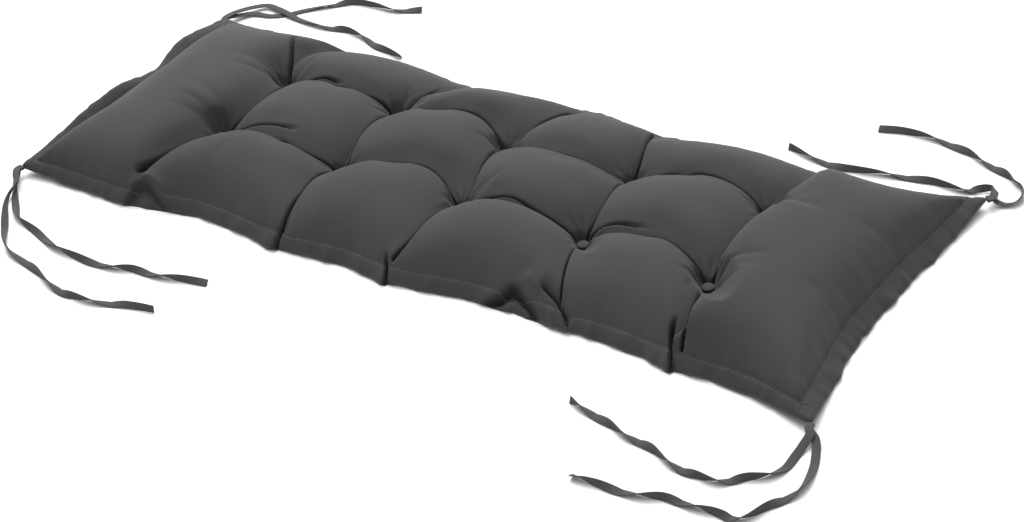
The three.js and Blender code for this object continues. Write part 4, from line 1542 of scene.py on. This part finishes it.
@dataclass
class CoveredButtons:
    """Small cloth-covered buttons, one sewn down at each tuft."""

    cushion: TuftedCushion
    radius: float = 8.0
    height: float = 5.0
    lift: float = 0.35
    sides: int = 28
    rings: int = 10
    # Below 1 its edge is blunter than a ball's, and its lower half is flatter.
    bluntness: float = 0.8
    lower_share: float = 0.9
    pieces: list[bpy.types.Object] = field(default_factory=list, init=False)

    def profile(self) -> np.ndarray:
        """The button's outline, from its middle underneath to its middle on top.

        Returns:
            One row of radius and height for each point.
        """
        turn = np.linspace(-math.pi / 2, math.pi / 2, self.rings)
        radius, height = np.cos(turn) ** self.bluntness * self.radius, (np.sin(turn) + 1) / 2 * self.height
        return np.stack([radius, np.where(turn < 0, height * self.lower_share, height)], axis=1)

    def build(self) -> None:
        """Builds the ten buttons."""
        for column in range(1, self.cushion.columns):
            for row, side in ((1, "near"), (2, "far")):
                spot = self.cushion.crossings[column, row]
                self.pieces.append(self._button(f"button_{side}_{column}", spot))

    def _button(self, node: str, spot: np.ndarray) -> bpy.types.Object:
        """Builds one button over a tuft.

        Args:
            node: the name of the solid that it stands for.
            spot: the tuft's x and y.

        Returns:
            The new piece.
        """
        outline = self.profile()
        turn = np.linspace(0, 2 * math.pi, self.sides, endpoint=False)
        base = self.cushion.tuft_height + self.lift
        circle = np.stack([np.cos(turn), np.sin(turn), np.zeros(self.sides)], axis=1)
        rings = [np.array([*spot, base + z]) + r * circle for r, z in outline[1:-1]]
        number = np.arange(len(rings) * self.sides).reshape(len(rings), self.sides)
        after = np.roll(number, -1, axis=1)
        walls = np.stack([number[:-1], after[:-1], after[1:], number[1:]], axis=2).reshape(-1, 4)
        points = np.vstack(rings)
        foot, crown = len(points), len(points) + 1
        points = np.vstack([points, [*spot, base], [*spot, base + self.height]])
        half = np.arange(0, self.sides, 2)
        fans = [
            np.stack([number[ring, half], np.full(len(half), middle), number[ring, (half + 2) % self.sides],
                      number[ring, half + 1]], axis=1)
            for ring, middle in ((0, foot), (-1, crown))
        ]
        faces = np.vstack([walls, fans[0], fans[1][:, ::-1]]).tolist()
        piece = mesh_piece(f"covered_{node}", points, faces)
        cloth_map(piece, points[:, 0], points[:, 1])
        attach(piece, "root")
        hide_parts(node)
        return piece

    def dress(self, cloth: bpy.types.Material) -> None:
        """Covers the buttons with their cloth."""
        for piece in self.pieces:
            piece.data.materials.append(cloth)


@dataclass
class Topstitching:
    """The row of stitches that closes the cover along its flange."""

    cushion: TuftedCushion
    length: float = 4.2
    pitch: float = 5.6
    radius: float = 0.42
    sides: int = 6
    # Along each stitch: share of its length, height over the cloth and share of its thickness.
    bow: Rows = ((0.0, -0.35, 0.5), (0.18, 0.15, 0.9), (0.5, 0.3, 1.0), (0.82, 0.15, 0.9), (1.0, -0.35, 0.5))
    piece: bpy.types.Object | None = field(default=None, init=False)

    def build(self) -> None:
        """Builds the stitches as one piece."""
        line = self.cushion.seam_line()
        line = np.vstack([line, line[:1]])
        walked = walked_length(line)
        count = int(walked[-1] / self.pitch)
        start = np.arange(count)[:, None] * walked[-1] / count
        share, height, thick = np.array(self.bow).T
        place = start + share * self.length
        centre = np.stack([np.interp(place, walked, line[:, k]) for k in range(3)], axis=2)
        centre[:, :, 2] += height
        way = centre[:, -1] - centre[:, 0]
        level = np.stack([-way[:, 1], way[:, 0], np.zeros(count)], axis=1)
        level /= np.linalg.norm(level, axis=1)[:, None]
        turn = np.linspace(0, 2 * math.pi, self.sides, endpoint=False)
        spread = (
            np.cos(turn)[None, None, :, None] * level[:, None, None, :]
            + np.sin(turn)[None, None, :, None] * np.array([0.0, 0.0, 1.0])
        )
        rings = centre[:, :, None, :] + self.radius * thick[None, :, None, None] * spread
        number = np.arange(rings[..., 0].size).reshape(rings.shape[:3])
        ends = number[:, 0].tolist() + number[:, -1, ::-1].tolist()
        self.piece = mesh_piece("topstitching", rings.reshape(-1, 3), tube_walls(number) + ends)

    def dress(self, thread: bpy.types.Material) -> None:
        """Gives the stitches their thread."""
        self.piece.data.materials.append(thread)
        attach(self.piece, "root")


@dataclass(frozen=True)
class Tie:
    """One tie tail: its corner, its place in the sewn pair, and the route of its centre line."""

    node: str
    corner: str
    layer: int
    # x, y, least height and turn in degrees at each point of the route.
    route: Rows


TIES = (
    Tie("tie_near_left_a", "near_left", 1, (
        (-583, -233, 13.5, 15), (-569, -249, 12, 45), (-563, -273, 6, 85), (-536, -309, 0, 150),
        (-506, -342, 0, 230), (-485, -358, 0, 290), (-433, -373, 0, 384), (-387, -389, 0, 478),
        (-350, -398, 0, 577), (-310, -394, 0, 676), (-266, -383, 0, 760), (-225, -376, 0, 800),
    )),
    Tie("tie_near_left_b", "near_left", -1, (
        (-583, -233, 8, 15), (-571, -251, 4, 50), (-545, -279, 2, -5), (-517, -302, 0, -73),
        (-472, -315, 0, -155), (-426, -329, 0, -236), (-376, -334, 0, -320), (-331, -329, 0, -403),
        (-299, -322, 0, -493), (-262, -318, 0, -583), (-230, -312, 0, -655), (-199, -304, 0, -700),
    )),
    Tie("tie_far_left_a", "far_left", 1, (
        (-562, 216, 11, 0), (-551, 243, 7, 0), (-535, 259, 5, 0), (-515, 258, 4.8, 0),
        (-493, 253, 4.8, -2), (-470, 249, 2, -10), (-426, 246, 0, -40), (-394, 249, 0, 45),
        (-353, 246, 0, 135), (-316, 231, 0, 215), (-270, 222, 0, 300),
    )),
    Tie("tie_far_left_b", "far_left", -1, (
        (-559, 214, 7, 0), (-544, 234, 3.4, 0), (-515, 242, 1.2, 0), (-496, 254, 1.2, 0),
        (-478, 273, 0, -5), (-453, 295, 0, -30), (-424, 315, 0, 55), (-385, 322, 0, 100),
        (-353, 324, 0, 146), (-333, 331, 0, 190), (-313, 338, 0, 225),
    )),
    Tie("tie_far_right_a", "far_right", 1, (
        (603, 243, 13, 15), (597, 255, 9, 70), (588, 257, 6, 100), (576, 250, 5, 150),
        (562, 245, 0, 217), (515, 244, 0, 307), (466, 239, 0, 397), (410, 227, 0, 489),
        (363, 233, 0, 581), (325, 241, 0, 650),
    )),
    Tie("tie_far_right_b", "far_right", -1, (
        (609, 234, 7, 0), (618, 238, 3, -10), (628, 245, 0, -42), (631, 259, 0, -60),
        (625, 274, 0, -95), (612, 285, 0, -129), (588, 298, 0, -40), (559, 310, 0, 44),
        (528, 321, 0, 130), (486, 332, 0, 219), (447, 330, 0, 290), (411, 324, 0, 330),
    )),
    Tie("tie_near_right_a", "near_right", 1, (
        (596, -241, 11.5, 0), (595, -255, 6, -20), (594, -270, 3, -25), (592, -293, 0, 0),
        (583, -310, 0, 45), (559, -329, 0, 135), (537, -343, 0, 224), (506, -346, 0, 319),
        (476, -340, 0, 414), (442, -328, 0, 503), (409, -322, 0, 593), (378, -313, 0, 683),
        (341, -303, 0, 773), (326, -300, 0, 830),
    )),
    Tie("tie_near_right_b", "near_right", -1, (
        (602, -241, 6.5, 0), (611, -257, 2.5, -15), (620, -284, 0, 10), (622, -317, 0, 56),
        (607, -349, 0, -40), (586, -383, 0, -135), (565, -387, 0, -223), (535, -388, 0, -312),
        (503, -390, 0, -403), (471, -399, 0, -494), (435, -404, 0, -582), (400, -404, 0, -671),
        (390, -404, 0, -690),
    )),
)


@dataclass
class TieTails:
    """Eight narrow tapes, folded and stitched along one side, sewn in pairs into the corners."""

    width: float = 10.0
    thickness: float = 1.8
    # How far a tail leads straight out of its corner, its gap to the corner and the floor, how far it lies
    # over or under the corner's tip, and the steps along it.
    lead: float = 8.0
    gap: float = 0.35
    stack: float = 1.3
    step: float = 2.2
    # Outline of the tape: share of the half width, share of the half thickness. The dips are stitched lines.
    section: Rows = (
        (-1.0, 0.0), (-0.96, 0.55), (-0.84, 0.8), (-0.72, 0.62), (-0.6, 0.82), (-0.2, 0.85), (0.2, 0.8),
        (0.6, 0.8), (0.9, 0.8), (1.0, 0.4), (1.0, -0.4), (0.9, -0.8), (0.6, -0.8), (0.2, -0.8),
        (-0.2, -0.85), (-0.6, -0.82), (-0.72, -0.62), (-0.84, -0.8), (-0.96, -0.55),
    )
    pieces: list[bpy.types.Object] = field(default_factory=list, init=False)

    def resting(self, turn: np.ndarray) -> np.ndarray:
        """The lowest centre line of the tape on the floor at each turn."""
        standing, lying = np.abs(np.sin(turn)) * self.width, np.abs(np.cos(turn)) * self.thickness
        return (standing + lying) / 2 + self.gap

    def route(self, tie: Tie) -> tuple[np.ndarray, np.ndarray, np.ndarray]:
        """The centre line of a tail.

        Args:
            tie: the tail.

        Returns:
            The centre line's points, its level directions, and its turn at each point in radians.
        """
        corner = CORNERS[tie.corner]
        root = corner.tip() + np.array([0, 0, tie.layer * self.stack])
        rows = np.array(tie.route, dtype=float)
        held = np.vstack([root + corner.out() * self.gap, root + corner.out() * self.lead, rows[:, :3]])
        turns = np.radians(np.concatenate([[0, 0], rows[:, 3]]))
        curve = Curve(held)
        fine = np.linspace(0, 1, 2001)
        walked = curve.at(fine)
        length = walked_length(walked)
        count = round(length[-1] / self.step)
        place = np.interp(np.linspace(0, length[-1], count + 1), length, fine)
        centre = curve.at(place)
        turn = np.interp(place * (len(held) - 1), np.arange(len(held)), turns)
        nudge = 1e-4
        forward = curve.at(np.clip(place + nudge, 0, 1)) - curve.at(np.clip(place - nudge, 0, 1))
        forward[:, 2] = 0
        forward /= np.linalg.norm(forward, axis=1)[:, None]
        centre[:, 2] = np.maximum(centre[:, 2], self.resting(turn))
        return centre, forward, turn

    def build(self) -> None:
        """Builds the eight tails."""
        for tie in TIES:
            self.pieces.append(self._tail(tie))

    def _tail(self, tie: Tie) -> bpy.types.Object:
        """Builds one tail as a closed tape along its route.

        Args:
            tie: the tail.

        Returns:
            The new piece.
        """
        centre, forward, turn = self.route(tie)
        level = np.stack([-forward[:, 1], forward[:, 0], np.zeros(len(turn))], axis=1)
        side = level * np.cos(turn)[:, None] + np.array([0, 0, 1]) * np.sin(turn)[:, None]
        thick = np.cross(forward, side)
        section = np.array(self.section)
        across = section[:, 0] * self.width / 2
        up = section[:, 1] * self.thickness / 2
        rings = (
            centre[:, None, :]
            + side[:, None, :] * across[None, :, None]
            + thick[:, None, :] * up[None, :, None]
        )
        count, around = rings.shape[:2]
        number = np.arange(count * around).reshape(count, around)
        ends = [number[0].tolist(), number[-1][::-1].tolist()]
        piece = mesh_piece(f"tape_{tie.node}", rings.reshape(-1, 3), tube_walls(number) + ends)
        walked = walked_length(centre)
        cloth_map(piece, np.tile(across, count), np.repeat(walked, around))
        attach(piece, "root")
        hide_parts(tie.node)
        return piece

    def dress(self, cloth: bpy.types.Material) -> None:
        """Gives the tails their cloth."""
        for piece in self.pieces:
            piece.data.materials.append(cloth)


@dataclass(frozen=True)
class SoftLight:
    """A square soft light that faces the cushion: its place and side in metres, and its power in watts."""

    name: str
    place: tuple[float, float, float]
    size: float
    watts: float

    def build(self) -> None:
        """Makes the light."""
        data = bpy.data.lights.new(self.name, "AREA")
        data.size, data.energy = self.size, self.watts
        lamp = bpy.data.objects.new(self.name, data)
        facing = Vector(self.place).to_track_quat("Z", "Y").to_matrix().to_4x4()
        lamp.matrix_world = Matrix.Translation(self.place) @ facing
        bpy.context.scene.collection.objects.link(lamp)


@dataclass
class Studio:
    """A pale floor, soft light from behind on the left, and the camera."""

    camera_place: tuple[float, float, float] = (1.4614, -1.8719, 1.6796)
    camera_right: tuple[float, float, float] = (0.8383, 0.5342, -0.1092)
    camera_down: tuple[float, float, float] = (0.2529, -0.5585, -0.7900)
    focal_mm: float = 80.0
    film_mm: float = 36.0
    floor_half: float = 9.0
    floor_colour: str = "f4f4f4"
    floor_roughness: float = 0.9
    lights: tuple[SoftLight, ...] = (
        SoftLight("key", (-3.6, 4.4, 7.1), 5.4, 830),
        SoftLight("overhead", (0.0, 0.3, 3.2), 2.4, 45),
    )
    glow: float = 0.5

    def camera(self) -> None:
        """Makes the camera."""
        data = bpy.data.cameras.new("camera")
        data.lens, data.sensor_width, data.sensor_fit = self.focal_mm, self.film_mm, "HORIZONTAL"
        camera = bpy.data.objects.new("camera", data)
        right, down = np.array(self.camera_right), np.array(self.camera_down)
        back = np.cross(right, -down)
        turn = Matrix(np.stack([right, -down, back], axis=1).tolist()).to_4x4()
        camera.matrix_world = Matrix.Translation(self.camera_place) @ turn.normalized()
        bpy.context.scene.collection.objects.link(camera)
        bpy.context.scene.camera = camera

    def floor(self) -> None:
        """Makes the floor."""
        half = self.floor_half / MM
        corners = np.array([[-half, -half, 0], [half, -half, 0], [half, half, 0], [-half, half, 0]])
        floor = mesh_piece("floor", corners, [[0, 1, 2, 3]])
        material = bpy.data.materials.new("Painted studio floor")
        material.use_nodes = True
        shader = material.node_tree.nodes["Principled BSDF"]
        shader.inputs["Base Color"].default_value = linear(self.floor_colour)
        shader.inputs["Roughness"].default_value = self.floor_roughness
        floor.data.materials.append(material)

    def build(self) -> None:
        """Makes the floor, the lights and the even glow round them."""
        self.floor()
        for light in self.lights:
            light.build()
        world = bpy.data.worlds.new("studio")
        world.use_nodes = True
        background = world.node_tree.nodes["Background"]
        background.inputs["Color"].default_value = (1, 1, 1, 1)
        background.inputs["Strength"].default_value = self.glow
        bpy.context.scene.world = world
        bpy.context.scene.view_settings.view_transform = "Standard"


def main() -> None:
    """Builds the bench cushion and its studio."""
    logging.basicConfig(level=logging.INFO, format="%(name)s: %(message)s")
    studio = Studio()
    studio.camera()
    ties = TieTails()
    ties.build()
    ties.dress(WovenPolyester("Folded polyester tape, woven", "4a4a4a", "434343").material())
    LOG.info("%d tie tails", len(ties.pieces))
    cover = WovenPolyester("Spun polyester cloth, plain woven").material()
    cushion = TuftedCushion()
    cushion.build()
    cushion.dress(cover)
    LOG.info("padded cover, %d faces", len(cushion.piece.data.polygons))
    stitching = Topstitching(cushion)
    stitching.build()
    stitching.dress(SpunThread().material())
    LOG.info("topstitching, %d faces", len(stitching.piece.data.polygons))
    buttons = CoveredButtons(cushion)
    buttons.build()
    buttons.dress(cover)
    LOG.info("%d covered buttons", len(buttons.pieces))
    studio.build()
    LOG.info("studio")


if __name__ == "__main__":
    main()
